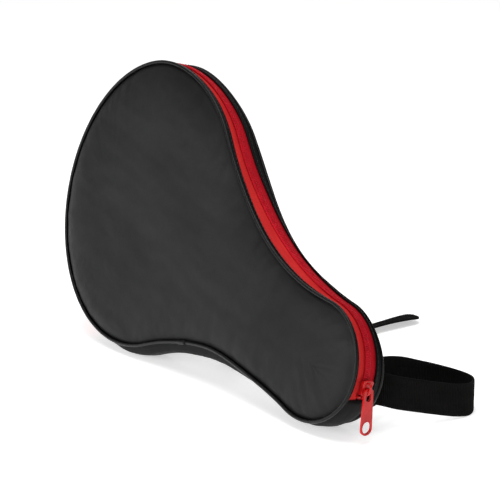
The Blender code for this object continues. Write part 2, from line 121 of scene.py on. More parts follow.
# --- Where the frame has the case ---
INWARD = -Vector(frame["record"]["mounts"][0]["axis"]).normalized()
HEAD_CENTRE = Vector(frame["record"]["mounts"][0]["pos_m"]) + INWARD * (FABRIC / 2.0)
HANDLE_CENTRE = Vector(JOINTS["slider_travel"]["pos_m"])
ALONG = (HANDLE_CENTRE - HEAD_CENTRE).normalized()
ACROSS = ALONG.cross(INWARD).normalized()
CASE = Matrix.Translation(HEAD_CENTRE) @ Matrix((ALONG, INWARD, ACROSS)).transposed().to_4x4()

# --- Camera ---
CAMERA_PLACE = (0.8481, -0.7252, 0.3655)
CAMERA_TURN = math.radians(51.32)
CAMERA_DOWN = math.radians(14.98)
CAMERA_LENS = 129.6

# --- Lights: place, size and power of each soft square light ---
LIGHTS = {
    "overhead_light": ((0.1, -0.2, 1.3), 0.75, 9.0),
    "key_light": ((0.0, -1.5, 0.5), 1.0, 8.0),
    "low_light": ((-0.15, -1.0, 0.2), 0.5, 3.4),
    "far_light": ((-1.5, 1.2, 1.3), 0.8, 3.5),
}
LIGHT_AIM = Vector((0.0, 0.0, 0.06))
WORLD_STRENGTH = 0.35
FLOOR_HALF = 6.0
FLOOR_GLOW = 0.5


# --------------------------------------------------------------------------- scene


def add_object(name, data):
    item = bpy.data.objects.new(name, data)
    bpy.context.scene.collection.objects.link(item)
    return item


def add_camera():
    data = bpy.data.cameras.new("camera")
    data.lens = CAMERA_LENS
    camera = add_object("camera", data)
    camera.location = CAMERA_PLACE
    camera.rotation_euler = (math.pi / 2.0 - CAMERA_DOWN, 0.0, CAMERA_TURN)
    bpy.context.scene.camera = camera


def add_light(name, spot, size, power):
    """A square area light aimed at the case."""
    data = bpy.data.lights.new(name, "AREA")
    data.size = size
    data.energy = power
    light = add_object(name, data)
    light.location = spot
    light.rotation_euler = (LIGHT_AIM - Vector(spot)).to_track_quat("-Z", "Y").to_euler()


def add_studio():
    """White world and floor, and the soft lights."""
    world = bpy.data.worlds.new("studio")
    world.use_nodes = True
    background = world.node_tree.nodes["Background"]
    background.inputs["Color"].default_value = (1.0, 1.0, 1.0, 1.0)
    background.inputs["Strength"].default_value = WORLD_STRENGTH
    bpy.context.scene.world = world
    for name, (spot, size, power) in LIGHTS.items():
        add_light(name, spot, size, power)
    corners = [(x * FLOOR_HALF, y * FLOOR_HALF, 0.0) for x, y in ((-1, -1), (1, -1), (1, 1), (-1, 1))]
    mesh_object("floor", corners, [(0, 1, 2, 3)], floor_paint())
    bpy.context.scene.view_settings.view_transform = "Standard"


# --------------------------------------------------------------------------- materials


class Finish:
    """A Principled material that is built up from nodes."""

    def __init__(self, name, roughness, **constants):
        self.material = bpy.data.materials.new(name)
        self.material.use_nodes = True
        self.tree = self.material.node_tree
        self.shader = self.tree.nodes["Principled BSDF"]
        self.shader.inputs["Roughness"].default_value = roughness
        for socket, value in constants.items():
            self.shader.inputs[socket.replace("_", " ")].default_value = value
        self.grain = self.node("ShaderNodeAttribute", attribute_name="grain").outputs["Vector"]
        self.relief = None

    def node(self, kind, **settings):
        node = self.tree.nodes.new(kind)
        for setting, value in settings.items():
            setattr(node, setting, value)
        return node

    def link(self, start, end):
        self.tree.links.new(start, end)

    def stretched(self, scale):
        """The grain coordinates multiplied by a scale for each axis."""
        node = self.node("ShaderNodeMapping")
        node.inputs["Scale"].default_value = scale
        self.link(self.grain, node.inputs["Vector"])
        return node.outputs["Vector"]

    def noise(self, size, detail=3.0):
        """Noise with one feature size, or with one for each axis, in metres."""
        sizes = (size,) * 3 if isinstance(size, float) else size
        node = self.node("ShaderNodeTexNoise")
        node.inputs["Scale"].default_value = 1.0
        node.inputs["Detail"].default_value = detail
        self.link(self.stretched(tuple(1.0 / length for length in sizes)), node.inputs["Vector"])
        return node.outputs["Fac"]

    def ribs(self, axis, pitch):
        """Even ridges across one axis, one every pitch."""
        node = self.node("ShaderNodeTexWave", wave_type="BANDS", bands_direction=axis)
        # A wave texture of scale 1 has a ridge every pi / 10 units.
        node.inputs["Scale"].default_value = math.pi / 10.0 / pitch
        self.link(self.grain, node.inputs["Vector"])
        return node.outputs["Fac"]

    def colour(self, value, dark, light, low=0.3, high=0.7):
        """Base colour: dark up to the low value, light from the high one."""
        node = self.node("ShaderNodeValToRGB")
        self.link(value, node.inputs["Fac"])
        for element, position, colour in zip(node.color_ramp.elements, (low, high), (dark, light)):
            element.position = position
            element.color = (*colour, 1.0)
        self.link(node.outputs["Color"], self.shader.inputs["Base Color"])

    def roughness(self, value, low, high):
        node = self.node("ShaderNodeMapRange")
        node.inputs["To Min"].default_value = low
        node.inputs["To Max"].default_value = high
        self.link(value, node.inputs["Value"])
        self.link(node.outputs["Result"], self.shader.inputs["Roughness"])

    def bump(self, height, distance):
        """Adds relief on top of the relief so far."""
        node = self.node("ShaderNodeBump")
        node.inputs["Distance"].default_value = distance
        self.link(height, node.inputs["Height"])
        if self.relief is not None:
            self.link(self.relief, node.inputs["Normal"])
        self.relief = node.outputs["Normal"]
        self.link(self.relief, self.shader.inputs["Normal"])

    def weave(self, across, along, distance):
        """Relief of crossing threads, each set with its own pitch."""
        node = self.node("ShaderNodeMath", operation="MULTIPLY")
        self.link(self.ribs("X", across), node.inputs[0])
        self.link(self.ribs("Y", along), node.inputs[1])
        self.bump(node.outputs[0], distance)


CLOTH_THREAD = 0.0005
LINING_THREAD = 0.0009
FOAM_PORE_SCALE = 900.0


def grey(value):
    return (value, value, value)


def floor_paint():
    glow = {"Emission_Color": (1.0, 1.0, 1.0, 1.0), "Emission_Strength": FLOOR_GLOW}
    finish = Finish("floor_paint", 0.9, **glow)
    finish.colour(finish.noise(0.4), grey(0.93), grey(0.95))
    return finish.material


def woven(name, dark, light, roughness, thread=CLOTH_THREAD, patch=0.05, **constants):
    """A plain weave with soft patches of lighter and darker cloth."""
    finish = Finish(name, roughness, **constants)
    finish.colour(finish.noise(patch, 2.0), grey(dark), grey(light), 0.32, 0.68)
    finish.roughness(finish.noise(0.02), roughness - 0.06, roughness + 0.08)
    finish.bump(finish.noise(0.012, 2.0), 0.0004)
    finish.weave(thread, thread, thread * 0.12)
    return finish


def nylon():
    """Satin cloth of the faces, with faint slack folds that run down towards the handle."""
    finish = woven("nylon", 0.0035, 0.0105, 0.46, patch=0.12, Specular_IOR_Level=0.14)
    finish.bump(finish.noise((0.10, 0.035, 0.03), 2.0), 0.0032)
    return finish.material


def shaded_side_cloth():
    """The thinner cloth of the side wall and the zipper strips; its colour is darker than the faces' nylon
    as painted shade, for the sides turned away from the light.
    """
    return woven("shaded_side_cloth", 0.003, 0.006, 0.55, Specular_IOR_Level=0.1).material


def piping_cloth():
    return woven("piping_cloth", 0.0015, 0.003, 0.15, Specular_IOR_Level=0.19).material


def lining_cloth():
    return woven("lining_cloth", 0.004, 0.007, 0.75, LINING_THREAD, Specular_IOR_Level=0.2).material


def foam_finish():
    finish = Finish("foam", 0.9)
    pores = finish.node("ShaderNodeTexVoronoi")
    pores.inputs["Scale"].default_value = 1.0
    finish.link(finish.stretched((FOAM_PORE_SCALE,) * 3), pores.inputs["Vector"])
    finish.colour(pores.outputs["Distance"], grey(0.16), grey(0.27), 0.0, 0.6)
    finish.bump(pores.outputs["Distance"], 0.0003)
    return finish.material


def cord_finish():
    finish = Finish("cotton_cord", 0.85)
    strands = finish.noise((0.002, 0.0003, 0.01))
    finish.colour(strands, (0.55, 0.54, 0.5), (0.75, 0.74, 0.7))
    finish.bump(strands, 0.0001)
    return finish.material


def zipper_tape_finish(name, dark, light):
    """Red tape with a fine weft across it and a few lengthwise warp lines."""
    finish = Finish(name, 0.7, Specular_IOR_Level=0.1)
    finish.colour(finish.noise((0.03, 0.004, 0.01)), dark, light)
    finish.weave(0.00045, 0.0006, 0.00008)
    return finish.material


def coil_finish():
    finish = Finish("zipper_coil", 0.5, Specular_IOR_Level=0.1)
    finish.colour(finish.noise(0.004), (0.44, 0.004, 0.013), (0.55, 0.007, 0.019))
    finish.bump(finish.noise(0.0004), 0.00003)
    return finish.material


def lacquer():
    """Glossy red lacquer, a little thinner where it has been handled."""
    finish = Finish("lacquer", 0.25, Specular_IOR_Level=0.2, Coat_Weight=0.2, Coat_Roughness=0.04)
    patches = finish.noise(0.006, 4.0)
    finish.colour(patches, (0.48, 0.006, 0.007), (0.58, 0.010, 0.010), high=0.75)
    finish.roughness(patches, 0.18, 0.34)
    finish.bump(finish.noise(0.0015), 0.00002)
    return finish.material


def webbing_finish():
    """Black webbing: weft ribs across the band and warp threads along it."""
    finish = Finish("webbing", 0.7, Specular_IOR_Level=0.06)
    finish.colour(finish.noise((0.02, 0.004, 0.004)), (0.0036, 0.0033, 0.0032), (0.0062, 0.0056, 0.0054))
    finish.weave(0.0006, 0.0005, 0.00016)
    return finish.material


def thread_finish():
    finish = Finish("black_thread", 0.5)
    strands = finish.noise((0.0006, 0.0002, 0.001))
    finish.colour(strands, grey(0.006), grey(0.016))
    finish.bump(strands, 0.00004)
    return finish.material


# --------------------------------------------------------------------------- meshes


MERGE_DISTANCE = 1e-6


def add_piece(name, mesh, material, grain):
    """An object of a mesh; grain is each vertex's place on the cloth, for the materials."""
    attribute = mesh.attributes.new("grain", "FLOAT_VECTOR", "POINT")
    attribute.data.foreach_set("vector", np.asarray(grain, float).ravel())
    mesh.materials.append(material)
    return add_object(name, mesh)


def mesh_object(name, vertices, faces, material, grain=None):
    """A smooth mesh with outward faces; where no grain is given, its own places serve as grain."""
    mesh = bpy.data.meshes.new(name)
    mesh.from_pydata([tuple(vertex) for vertex in vertices], [], faces)
    item = add_piece(name, mesh, material, vertices if grain is None else grain)
    clean(mesh)
    mesh.shade_smooth()
    return item


def clean(mesh):
    """Merges vertices that coincide and turns all faces outward."""
    work = bmesh.new()
    work.from_mesh(mesh)
    bmesh.ops.remove_doubles(work, verts=work.verts, dist=MERGE_DISTANCE)
    bmesh.ops.dissolve_degenerate(work, dist=MERGE_DISTANCE, edges=work.edges)
    bmesh.ops.recalc_face_normals(work, faces=work.faces)
    work.to_mesh(mesh)
    work.free()


def in_case(points):
    """Points in the case's axes as points of the frame."""
    turn = np.array(CASE.to_3x3())
    return np.asarray(points, float) @ turn.T + np.array(CASE.translation)


BODIES = {"front": "front_cover", "back": "back_half", "rear": "back_half"}


def place(item, body, slot, *nodes):
    """Fixes a piece to a body and hides the CAD nodes that it stands for; slot is not used."""
    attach(item, body)
    if nodes:
        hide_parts(*nodes)
    return item


def join_rings(rings, size, closed_run=False, first=0):
    """Quads between rings of vertices that follow each other in the list."""
    faces = []
    for ring in range(rings if closed_run else rings - 1):
        start = first + ring * size
        following = first + ((ring + 1) % rings) * size
        for corner in range(size):
            other = (corner + 1) % size
            faces.append((start + corner, start + other, following + other, following + corner))
    return faces


def capped_rings(rings, size, first=0):
    """The quads between rings, with a face over the first ring and one over the last."""
    last = first + (rings - 1) * size
    caps = [tuple(range(start, start + size)) for start in (first, last)]
    return join_rings(rings, size, first=first) + caps


def circle(count):
    """Angles of places spaced evenly round a circle."""
    return [2.0 * math.pi * number / count for number in range(count)]


def round_points(radius, angles):
    return [(radius * math.cos(angle), radius * math.sin(angle)) for angle in angles]


# --------------------------------------------------------------------------- outline


def ellipse(angles):
    """Points and outward normals of the head."""
    points = np.column_stack([HEAD_HALF_LENGTH * np.cos(angles), HEAD_HALF_WIDTH * np.sin(angles)])
    normals = np.column_stack([np.cos(angles) / HEAD_HALF_LENGTH, np.sin(angles) / HEAD_HALF_WIDTH])
    return points, normals / np.linalg.norm(normals, axis=1, keepdims=True)


def handle_arc(angles):
    normals = np.column_stack([np.cos(angles), np.sin(angles)])
    return np.array([HANDLE_OFFSET, 0.0]) + HANDLE_RADIUS * normals, normals


def neck_joint():
    """Ellipse angle where the neck arc leaves the head, and the centre of that arc."""
    low = math.radians(5.0)
    high = math.radians(90.0)
    for _ in range(60):
        angle = (low + high) / 2.0
        point, normal = ellipse(np.array([angle]))
        centre = point[0] + normal[0] * NECK_RADIUS
        if math.hypot(centre[0] - HANDLE_OFFSET, centre[1]) < HANDLE_RADIUS + NECK_RADIUS:
            low = angle
        else:
            high = angle
    return angle, centre


def swelling(distances, bumps):
    """Sum of smooth bumps along the outline; each bump has a centre, a reach and a height."""
    total = np.zeros(np.shape(distances))
    for centre, reach, height in bumps:
        away = np.clip((np.asarray(distances) - centre) / reach, -1.0, 1.0)
        total = total + height * (1.0 - away**2) ** 2
    return total


# How the sewn case leaves its drawn outline, as bumps. Both rims are more waisted at the neck and
# fuller under the handle.
RIM_SHIFTS = [(0.25, 0.055, -0.0018), (0.118, 0.062, -0.0021), (0.66, 0.04, -0.0006), (0.705, 0.05, 0.0022)]
# The rear rim is drawn in at the neck and towards the front; the zipper stands proud there.
REAR_RIM_SHIFTS = [(0.25, 0.06, -0.0020)]
REAR_PULLED_IN = [(0.05, 0.045, 0.0040), (0.11, 0.09, 0.0024), (0.245, 0.07, 0.0020)]
ZIPPER_RIDGE = [(0.124, 0.072, 0.0036)]
# The front rim is fuller round the handle's end, down to this share of the depth.
FRONT_RIM_DEPTH = 0.24


def settle(distances, offsets, depths):
    """Offsets and depths of points near the rim, moved as the sewn case has settled."""
    share = np.clip(np.asarray(depths) / CASE_DEPTH, 0.0, 1.1)
    near_front = np.clip(1.0 - share / FRONT_RIM_DEPTH, 0.0, 1.0) ** 1.5
    offsets = offsets + swelling(distances, FRONT_RIM_SHIFTS) * near_front
    offsets = offsets + swelling(distances, REAR_RIM_SHIFTS) * share
    ridge = np.sin(math.pi * np.clip(share, 0.0, 1.0) ** 1.2)
    offsets = offsets + swelling(distances, ZIPPER_RIDGE) * ridge
    return offsets, depths - swelling(distances, REAR_PULLED_IN) * share**4


class Outline:
    """The outline at the centre of the piping, by distance from the zipper's end."""

    FINE = 1500

    def __init__(self):
        joint, centre = neck_joint()
        handle = math.atan2(centre[1], centre[0] - HANDLE_OFFSET)
        start = math.atan2(-math.sin(handle), -math.cos(handle))
        out = ellipse(np.array([joint]))[0][0] - centre
        inwards = np.linspace(start, math.atan2(out[1], out[0]), self.FINE)
        directions = np.column_stack([np.cos(inwards), np.sin(inwards)])
        neck = (centre + NECK_RADIUS * directions, -directions)
        mirror = np.array([1.0, -1.0])
        lower_neck = (neck[0][::-1] * mirror, neck[1][::-1] * mirror)
        stretches = [
            handle_arc(np.linspace(ZIPPER_END, handle, self.FINE)),
            neck,
            ellipse(np.linspace(joint, 2.0 * math.pi - joint, 4 * self.FINE)),
            lower_neck,
            handle_arc(np.linspace(-handle, ZIPPER_END, self.FINE)),
        ]
        self.points = np.vstack([stretch[0] for stretch in stretches])
        self.normals = np.vstack([stretch[1] for stretch in stretches])
        steps = np.linalg.norm(np.diff(self.points, axis=0), axis=1)
        self.distances = np.concatenate([[0.0], np.cumsum(steps)])
        self.length = self.distances[-1]
        self.points = self.points + self.normals * swelling(self.distances, RIM_SHIFTS)[:, None]

    def at(self, distances):
        """Points and normals at distances along the outline."""
        wrapped = np.mod(distances, self.length)
        columns = [np.interp(wrapped, self.distances, line) for line in (*self.points.T, *self.normals.T)]
        points = np.column_stack(columns[:2])
        normals = np.column_stack(columns[2:])
        return points, normals / np.linalg.norm(normals, axis=1, keepdims=True)

    def distance_to(self, point):
        """Distance along the outline of the place nearest to a point."""
        return self.distances[np.argmin(np.linalg.norm(self.points - np.asarray(point), axis=1))]


OUTLINE = Outline()
ZIPPER_LENGTH = OUTLINE.distance_to(ellipse(np.array([ZIPPER_START]))[0][0])
COIL_FIRST = OUTLINE.distance_to(handle_arc(np.array([COIL_END]))[0][0])
COIL_LAST = OUTLINE.distance_to(ellipse(np.array([COIL_START]))[0][0])
HANDLE_TIP = OUTLINE.distance_to((HANDLE_OFFSET + HANDLE_RADIUS, 0.0))
# A bump that crosses the outline's start stands once more a whole turn on.
FRONT_RIM_SHIFTS = [(0.032 + turn, 0.062, 0.0021) for turn in (0.0, OUTLINE.length)]


def sweep(name, distances, profiles, material, closed=False):
    """A piece with one profile of (offset, depth) pairs for each distance along the outline."""
    profiles = np.asarray(profiles, float)
    count, size = profiles.shape[:2]
    along = np.repeat(np.asarray(distances)[:, None], size, axis=1)
    places = np.dstack([along, profiles]).reshape(-1, 3)
    steps = np.linalg.norm(np.diff(profiles[0], axis=0), axis=1)
    round_profile = np.tile(np.concatenate([[0.0], np.cumsum(steps)]), (count, 1))
    grain = np.dstack([along, round_profile, np.zeros((count, size))]).reshape(-1, 3)
    faces = join_rings(count, size, closed_run=True) if closed else capped_rings(count, size)
    return mesh_object(name, on_outline(places), faces, material, grain)


def on_outline(places):
    """Points of the frame from (distance, offset, depth) triples."""
    distances, offsets, depths = np.asarray(places, float).T
    points, normals = OUTLINE.at(distances)
    offsets, depths = settle(np.mod(distances, OUTLINE.length), offsets, depths)
    flat = points + normals * offsets[:, None]
    return in_case(np.column_stack([flat[:, 0], depths, flat[:, 1]]))


CORNER_STEPS = 4
END_GAP = 0.00015


def depth_of(side, depth):
    """A depth that is measured from the face of that side."""
    return depth if side == "front" else CASE_DEPTH - depth


def even(start, end, step):
    return np.linspace(start, end, int(round((end - start) / step)) + 1)


def rounded(left, right, low, high, radius):
    """A rectangle with round corners, as (offset, depth) pairs."""
    corner_places = [
        (right - radius, high - radius),
        (left + radius, high - radius),
        (left + radius, low + radius),
        (right - radius, low + radius),
    ]
    pairs = []
    for quarter, (offset, depth) in enumerate(corner_places):
        for step in range(CORNER_STEPS + 1):
            angle = math.pi / 2.0 * (quarter + step / CORNER_STEPS)
            pairs.append((offset + radius * math.cos(angle), depth + radius * math.sin(angle)))
    return pairs


def wander(distance, size, seed, octaves=3):
    """Smooth noise along a line, about -1 to 1."""
    return noise.fractal(Vector((distance / size, seed, 0.0)), 1.0, 2.0, octaves)


# --------------------------------------------------------------------------- padded faces

FACE_STATIONS = 420
FACE_RINGS = 34
FACE_EDGE = 0.0012
FACE_CROWDING = 1.7
SPINE_START = -0.045
SPINE_END = 0.196
EDGE_ROLL = 0.0026
EDGE_ROLL_REACH = 0.0042
SEAM_DEPTH = 0.0009
CLOTH_SPACING = 0.0036
CLOTH_FRAMES = 22
CLOTH_CAP = 0.0045
CLOTH_THICKNESS = 0.0006
# The cloth simulation works at this many times the size, where Blender's cloth behaves like real fabric.
CLOTH_GROWTH = 10.0
CLOTH_SETTINGS = {
    "quality": 6,
    "mass": 0.2,
    "tension_stiffness": 12.0,
    "compression_stiffness": 12.0,
    "bending_stiffness": 0.4,
    "shrink_min": -0.006,
    "use_pressure": True,
    "uniform_pressure_force": 1.5,
}
REAR_PULL_REACH = 0.014
FOAM_INSET = 0.0047
FOAM_RINGS = 22
FOAM_STATIONS = 260
FOAM_UNDER_CLOTH = 0.0009
FOAM_TOP_LIMIT = 0.0024
FOAM_BOTTOM = 0.0037
FOAM_EDGE_ROUND = 0.0009
LINING_OUTSIDE = 0.0039
LINING_INSIDE = 0.0046
QUILT_HEIGHT = 0.0003
CROWN_SHARE = 0.75
SLACK_HEIGHT = 0.0008
FOLD_HEIGHT = 0.00022
SLACK_REACH = 0.015
PUCKER_HEIGHT = 0.0011
PUCKER_LENGTH = 0.0065
PUCKER_REACH = 0.013
FINE_PUCKER_HEIGHT = 0.00035
FINE_PUCKER_LENGTH = 0.0032


def sewn_sheet():
    """A flat sheet of the face's shape, as triangles about one cloth spacing wide."""
    points, normals = OUTLINE.at(np.arange(0.0, OUTLINE.length, CLOTH_SPACING))
    rim = points - normals * FACE_EDGE
    inner = points - normals * (FACE_EDGE + CLOTH_SPACING * 0.8)
    columns = np.arange(-HEAD_HALF_LENGTH, HANDLE_OFFSET + HANDLE_RADIUS, CLOTH_SPACING)
    rows = np.arange(-HEAD_HALF_WIDTH, HEAD_HALF_WIDTH, CLOTH_SPACING * 0.866)
    grid = []
    for number, z in enumerate(rows):
        shift = CLOTH_SPACING / 2.0 if number % 2 else 0.0
        grid += [(x + shift, z) for x in columns if inside(inner, x + shift, z)]
    edges = [(index, (index + 1) % len(rim)) for index in range(len(rim))]
    result = delaunay_2d_cdt([Vector(point) for point in [*rim, *grid]], edges, [], 1, 1e-6)
    return result[0], result[2], len(rim)


def inside(ring, x, z):
    """Whether a point lies in a closed ring of points."""
    x1, z1 = ring.T
    x2, z2 = np.roll(ring, -1, axis=0).T
    crosses = (z1 > z) != (z2 > z)
    meets = x1 + (z - z1) / np.where(z2 == z1, 1e-12, z2 - z1) * (x2 - x1)
    return np.count_nonzero(crosses & (x < meets)) % 2 == 1


def blown_sheet():
    """The sewn sheet after a cloth simulation that swells it off its padding."""
    points, faces, rim = sewn_sheet()
    vertices = []
    for point in points:
        uneven = 0.004 * noise.noise(Vector((point.x, point.y, 0.0)) * 90.0)
        vertices.append((point.x * CLOTH_GROWTH, uneven, point.y * CLOTH_GROWTH))
    mesh = bpy.data.meshes.new("sewn_sheet")
    mesh.from_pydata(vertices, [], [tuple(face) for face in faces])
    sheet = add_object("sewn_sheet", mesh)
    seam = sheet.vertex_groups.new(name="seam")
    seam.add(list(range(rim)), 1.0, "REPLACE")
    settings = sheet.modifiers.new("cloth", "CLOTH").settings
    settings.vertex_group_mass = "seam"
    for name, value in CLOTH_SETTINGS.items():
        setattr(settings, name, value)
    settings.effector_weights.gravity = 0.0
    scene = bpy.context.scene
    for number in range(1, CLOTH_FRAMES + 1):
        scene.frame_set(number)
    shape = sheet.evaluated_get(bpy.context.evaluated_depsgraph_get())
    blown = [vertex.co / CLOTH_GROWTH for vertex in shape.data.vertices]
    triangles = [tuple(polygon.vertices) for polygon in mesh.polygons]
    scene.frame_set(1)
    bpy.data.objects.remove(sheet)
    if sum(point.y for point in blown) > 0.0:
        blown = [Vector((point.x, -point.y, point.z)) for point in blown]
    return BVHTree.FromPolygons(blown, triangles)


BLOWN_SHEET = blown_sheet()


def swell(x, z, reach):
    """How far the padding lifts the cloth at a place that is reach inside the seam."""
    if BLOWN_SHEET is None:
        return CLOTH_CAP * math.tanh(reach / 0.03)
    hit = BLOWN_SHEET.ray_cast(Vector((x, -1.0, z)), Vector((0.0, 1.0, 0.0)))[0]
    lift = -hit.y if hit is not None else 0.0
    return CLOTH_CAP * math.tanh(max(lift, 0.0) / CLOTH_CAP)


# The cloth is gathered most where it turns round the end of the handle.
GATHERED_END = [(0.0, 0.06, 1.0), (OUTLINE.length, 0.07, 1.0)]


def puckers(distance, reach, seed):
    """Small creases that run in from the seam, where the thread has drawn up the cloth."""
    drawn = 0.5 + 0.9 * wander(distance, 0.06, seed + 3.0, 2)
    streak = noise.noise(Vector((distance / PUCKER_LENGTH, reach / 0.03, seed)))
    fine = noise.noise(Vector((distance / FINE_PUCKER_LENGTH, reach / 0.015, seed + 9.0)))
    gathered = float(swelling(distance % OUTLINE.length, GATHERED_END))
    fade = math.exp(-reach / (PUCKER_REACH + 0.009 * gathered)) * (1.0 - math.exp(-reach / FACE_EDGE))
    creases = PUCKER_HEIGHT * streak + FINE_PUCKER_HEIGHT * fine
    return (max(drawn, 0.12) + 0.7 * gathered) * fade * creases


def face_grid(side, inset, rings, stations):
    """Places of a face from its rim to its spine, their reach from the rim, and the rim's distances.

    The last result is how far the rear face is drawn in towards the front.
    """
    distances = HANDLE_TIP + OUTLINE.length * np.arange(stations) / stations
    points, normals = OUTLINE.at(distances)
    along = np.mod(distances, OUTLINE.length)
    depth = depth_of(side, 0.0)
    offsets, rim_depths = settle(along, np.full(stations, -inset), np.full(stations, depth))
    rim = points + normals * offsets[:, None]
    share = (points[:, 0] + HEAD_HALF_LENGTH) / (HEAD_HALF_LENGTH + HANDLE_OFFSET + HANDLE_RADIUS)
    spine = np.column_stack([SPINE_START + (SPINE_END - SPINE_START) * share, np.zeros(stations)])
    steps = np.linspace(0.0, 1.0, rings) ** FACE_CROWDING
    flat = rim[None] + (spine - rim)[None] * steps[:, None, None]
    reach = np.linalg.norm(spine - rim, axis=1)[None] * steps[:, None]
    pulled = (depth - rim_depths)[None] * np.exp(-((reach / REAR_PULL_REACH) ** 2))
    return flat, reach, distances, pulled


def outer_depths(flat, reach, distances, seed):
    """Depth of the outer face: up from the seam in a roll, and on in a low crown."""
    depths = np.zeros(reach.shape)
    for ring in range(reach.shape[0]):
        for station in range(reach.shape[1]):
            x, z = flat[ring, station]
            inwards = reach[ring, station]
            roll = EDGE_ROLL * (1.0 - math.exp(-inwards / EDGE_ROLL_REACH))
            soft = SLACK_HEIGHT * noise.noise(Vector((x / 0.05, z / 0.05, seed)))
            soft += FOLD_HEIGHT * noise.noise(Vector(((x + z) / 0.035, (x - z) / 0.011, seed + 2.0)))
            soft *= 1.0 - math.exp(-inwards / SLACK_REACH)
            crown = swell(x, z, inwards) * CROWN_SHARE
            creases = puckers(distances[station], inwards, seed)
            depths[ring, station] = SEAM_DEPTH - (roll + crown + soft + creases)
    return depths


def closed_layer(name, side, flat, outer, inner, pulled, material, seed):
    """A sheet between two depths over a face grid, closed round its rim."""
    rings, stations = outer.shape
    sign = 1.0 if side == "front" else -1.0
    vertices = []
    for depths in (outer, inner):
        placed = depth_of(side, 0.0) + sign * depths - pulled
        vertices.append(np.dstack([flat[:, :, 0], placed, flat[:, :, 1]]).reshape(-1, 3))
    cloth = np.dstack([flat, np.full(outer.shape, seed)]).reshape(-1, 3)
    size = rings * stations
    faces = join_rings(rings, stations) + join_rings(rings, stations, first=size)
    faces += [(i, (i + 1) % stations, size + (i + 1) % stations, size + i) for i in range(stations)]
    return mesh_object(name, in_case(np.vstack(vertices)), faces, material, np.vstack([cloth, cloth]))


def quilting(flat, seed):
    """Low waves of the lining, at each place of a face grid."""
    waves = [noise.noise(Vector((x / 0.02, z / 0.02, seed + 5.0))) for x, z in flat.reshape(-1, 2)]
    return QUILT_HEIGHT * np.array(waves).reshape(flat.shape[:2])


def padded_face(side, seed, cloth_material, foam_material, lining_material):
    """Outer cloth, foam and lining of one face."""
    flat, reach, distances, pulled = face_grid(side, FACE_EDGE, FACE_RINGS, FACE_STATIONS)
    outer = outer_depths(flat, reach, distances, seed)
    inner = outer + CLOTH_THICKNESS
    cloth = closed_layer(side + "_cloth", side, flat, outer, inner, pulled, cloth_material, seed)
    place(cloth, BODIES[side], "nylon_black", side + "_panel")
    flat, reach, distances, pulled = face_grid(side, FOAM_INSET, FOAM_RINGS, FOAM_STATIONS)
    edge = FOAM_EDGE_ROUND * np.exp(-reach / FOAM_EDGE_ROUND)
    under = outer_depths(flat, reach + FOAM_INSET - FACE_EDGE, distances, seed) + FOAM_UNDER_CLOTH
    top = np.minimum(under + edge, FOAM_TOP_LIMIT)
    bottom = FOAM_BOTTOM - edge
    foam = closed_layer(side + "_foam_sheet", side, flat, top, bottom, pulled, foam_material, seed)
    place(foam, BODIES[side], "foam_grey", side + "_foam")
    outside = np.full(top.shape, LINING_OUTSIDE)
    quilt = LINING_INSIDE + quilting(flat, seed)
    lining = closed_layer(side + "_lining_cloth", side, flat, outside, quilt, pulled, lining_material, seed)
    place(lining, BODIES[side], "lining_black", side + "_lining")


# --------------------------------------------------------------------------- piping and bindings

PIPING_RADIUS = 0.00118
PIPING_WALL = 0.0004
PIPING_STEP = 0.0016
PIPING_JOIN = 0.629
PIPING_OVERLAP = 0.008
PIPING_LAP = 0.00042
FLANGE_TURN = math.radians(135.0)
FLANGE_REACH = 0.0038
PLY_OUTSIDE = 0.00044
PLY_INSIDE = 0.00008
CORD_RADIUS = 0.00075
CORD_STEP = 0.0012
CORD_LAY = 0.006
CORD_SIDES = 12
BINDING_STEP = 0.0025
BINDING_INNER = -0.0039
BINDING_OUTER = -0.0021
BINDING_LOW = 0.0012
BINDING_HIGH = 0.0031


def piping(side, material):
    """Cloth folded round a cord, its two plies running into the seam, one end lapped over the other."""
    distances = even(PIPING_JOIN, PIPING_JOIN + OUTLINE.length + PIPING_OVERLAP, PIPING_STEP)
    outer = [FLANGE_TURN + math.radians(22.0 + 316.0 * step / 18.0) for step in range(19)]
    inner = [FLANGE_TURN + math.radians(334.0 - 308.0 * step / 12.0) for step in range(13)]
    profiles = []
    for distance in distances:
        radius = PIPING_RADIUS * (1.0 + 0.04 * wander(distance, 0.006, 2.0))
        if distance > distances[-1] - PIPING_OVERLAP:
            radius += PIPING_LAP
        profile = round_points(radius, outer) + ply(-1.0)
        profile += round_points(radius - PIPING_WALL, inner) + ply(1.0)
        profiles.append([(offset, depth_of(side, depth)) for offset, depth in profile])
    item = sweep(side + "_piping_cloth", distances, profiles, material)
    place(item, BODIES[side], "piping_black", side + "_piping")


def ply(turn):
    """Both sides of the end of one ply of the piping's flange, which runs into the seam."""
    along = Vector((math.cos(FLANGE_TURN), math.sin(FLANGE_TURN)))
    beside = Vector((-along.y, along.x)) * turn
    widths = (PLY_OUTSIDE, PLY_INSIDE) if turn < 0.0 else (PLY_INSIDE, PLY_OUTSIDE)
    return [tuple(along * FLANGE_REACH + beside * width) for width in widths]


def piping_cord(side, material):
    """Three strands laid round each other."""
    distances = even(0.0, OUTLINE.length, CORD_STEP)[:-1]
    turns = round(OUTLINE.length / CORD_LAY)
    profiles = []
    for distance in distances:
        twist = 2.0 * math.pi * turns * distance / OUTLINE.length
        profile = []
        for angle in circle(CORD_SIDES):
            radius = CORD_RADIUS * (0.9 + 0.12 * math.cos(3.0 * (angle - twist)))
            profile.append((radius * math.cos(angle), depth_of(side, radius * math.sin(angle))))
        profiles.append(profile)
    item = sweep(side + "_cord", distances, profiles, material, closed=True)
    place(item, BODIES[side], "cord_white", side + "_piping_cord")


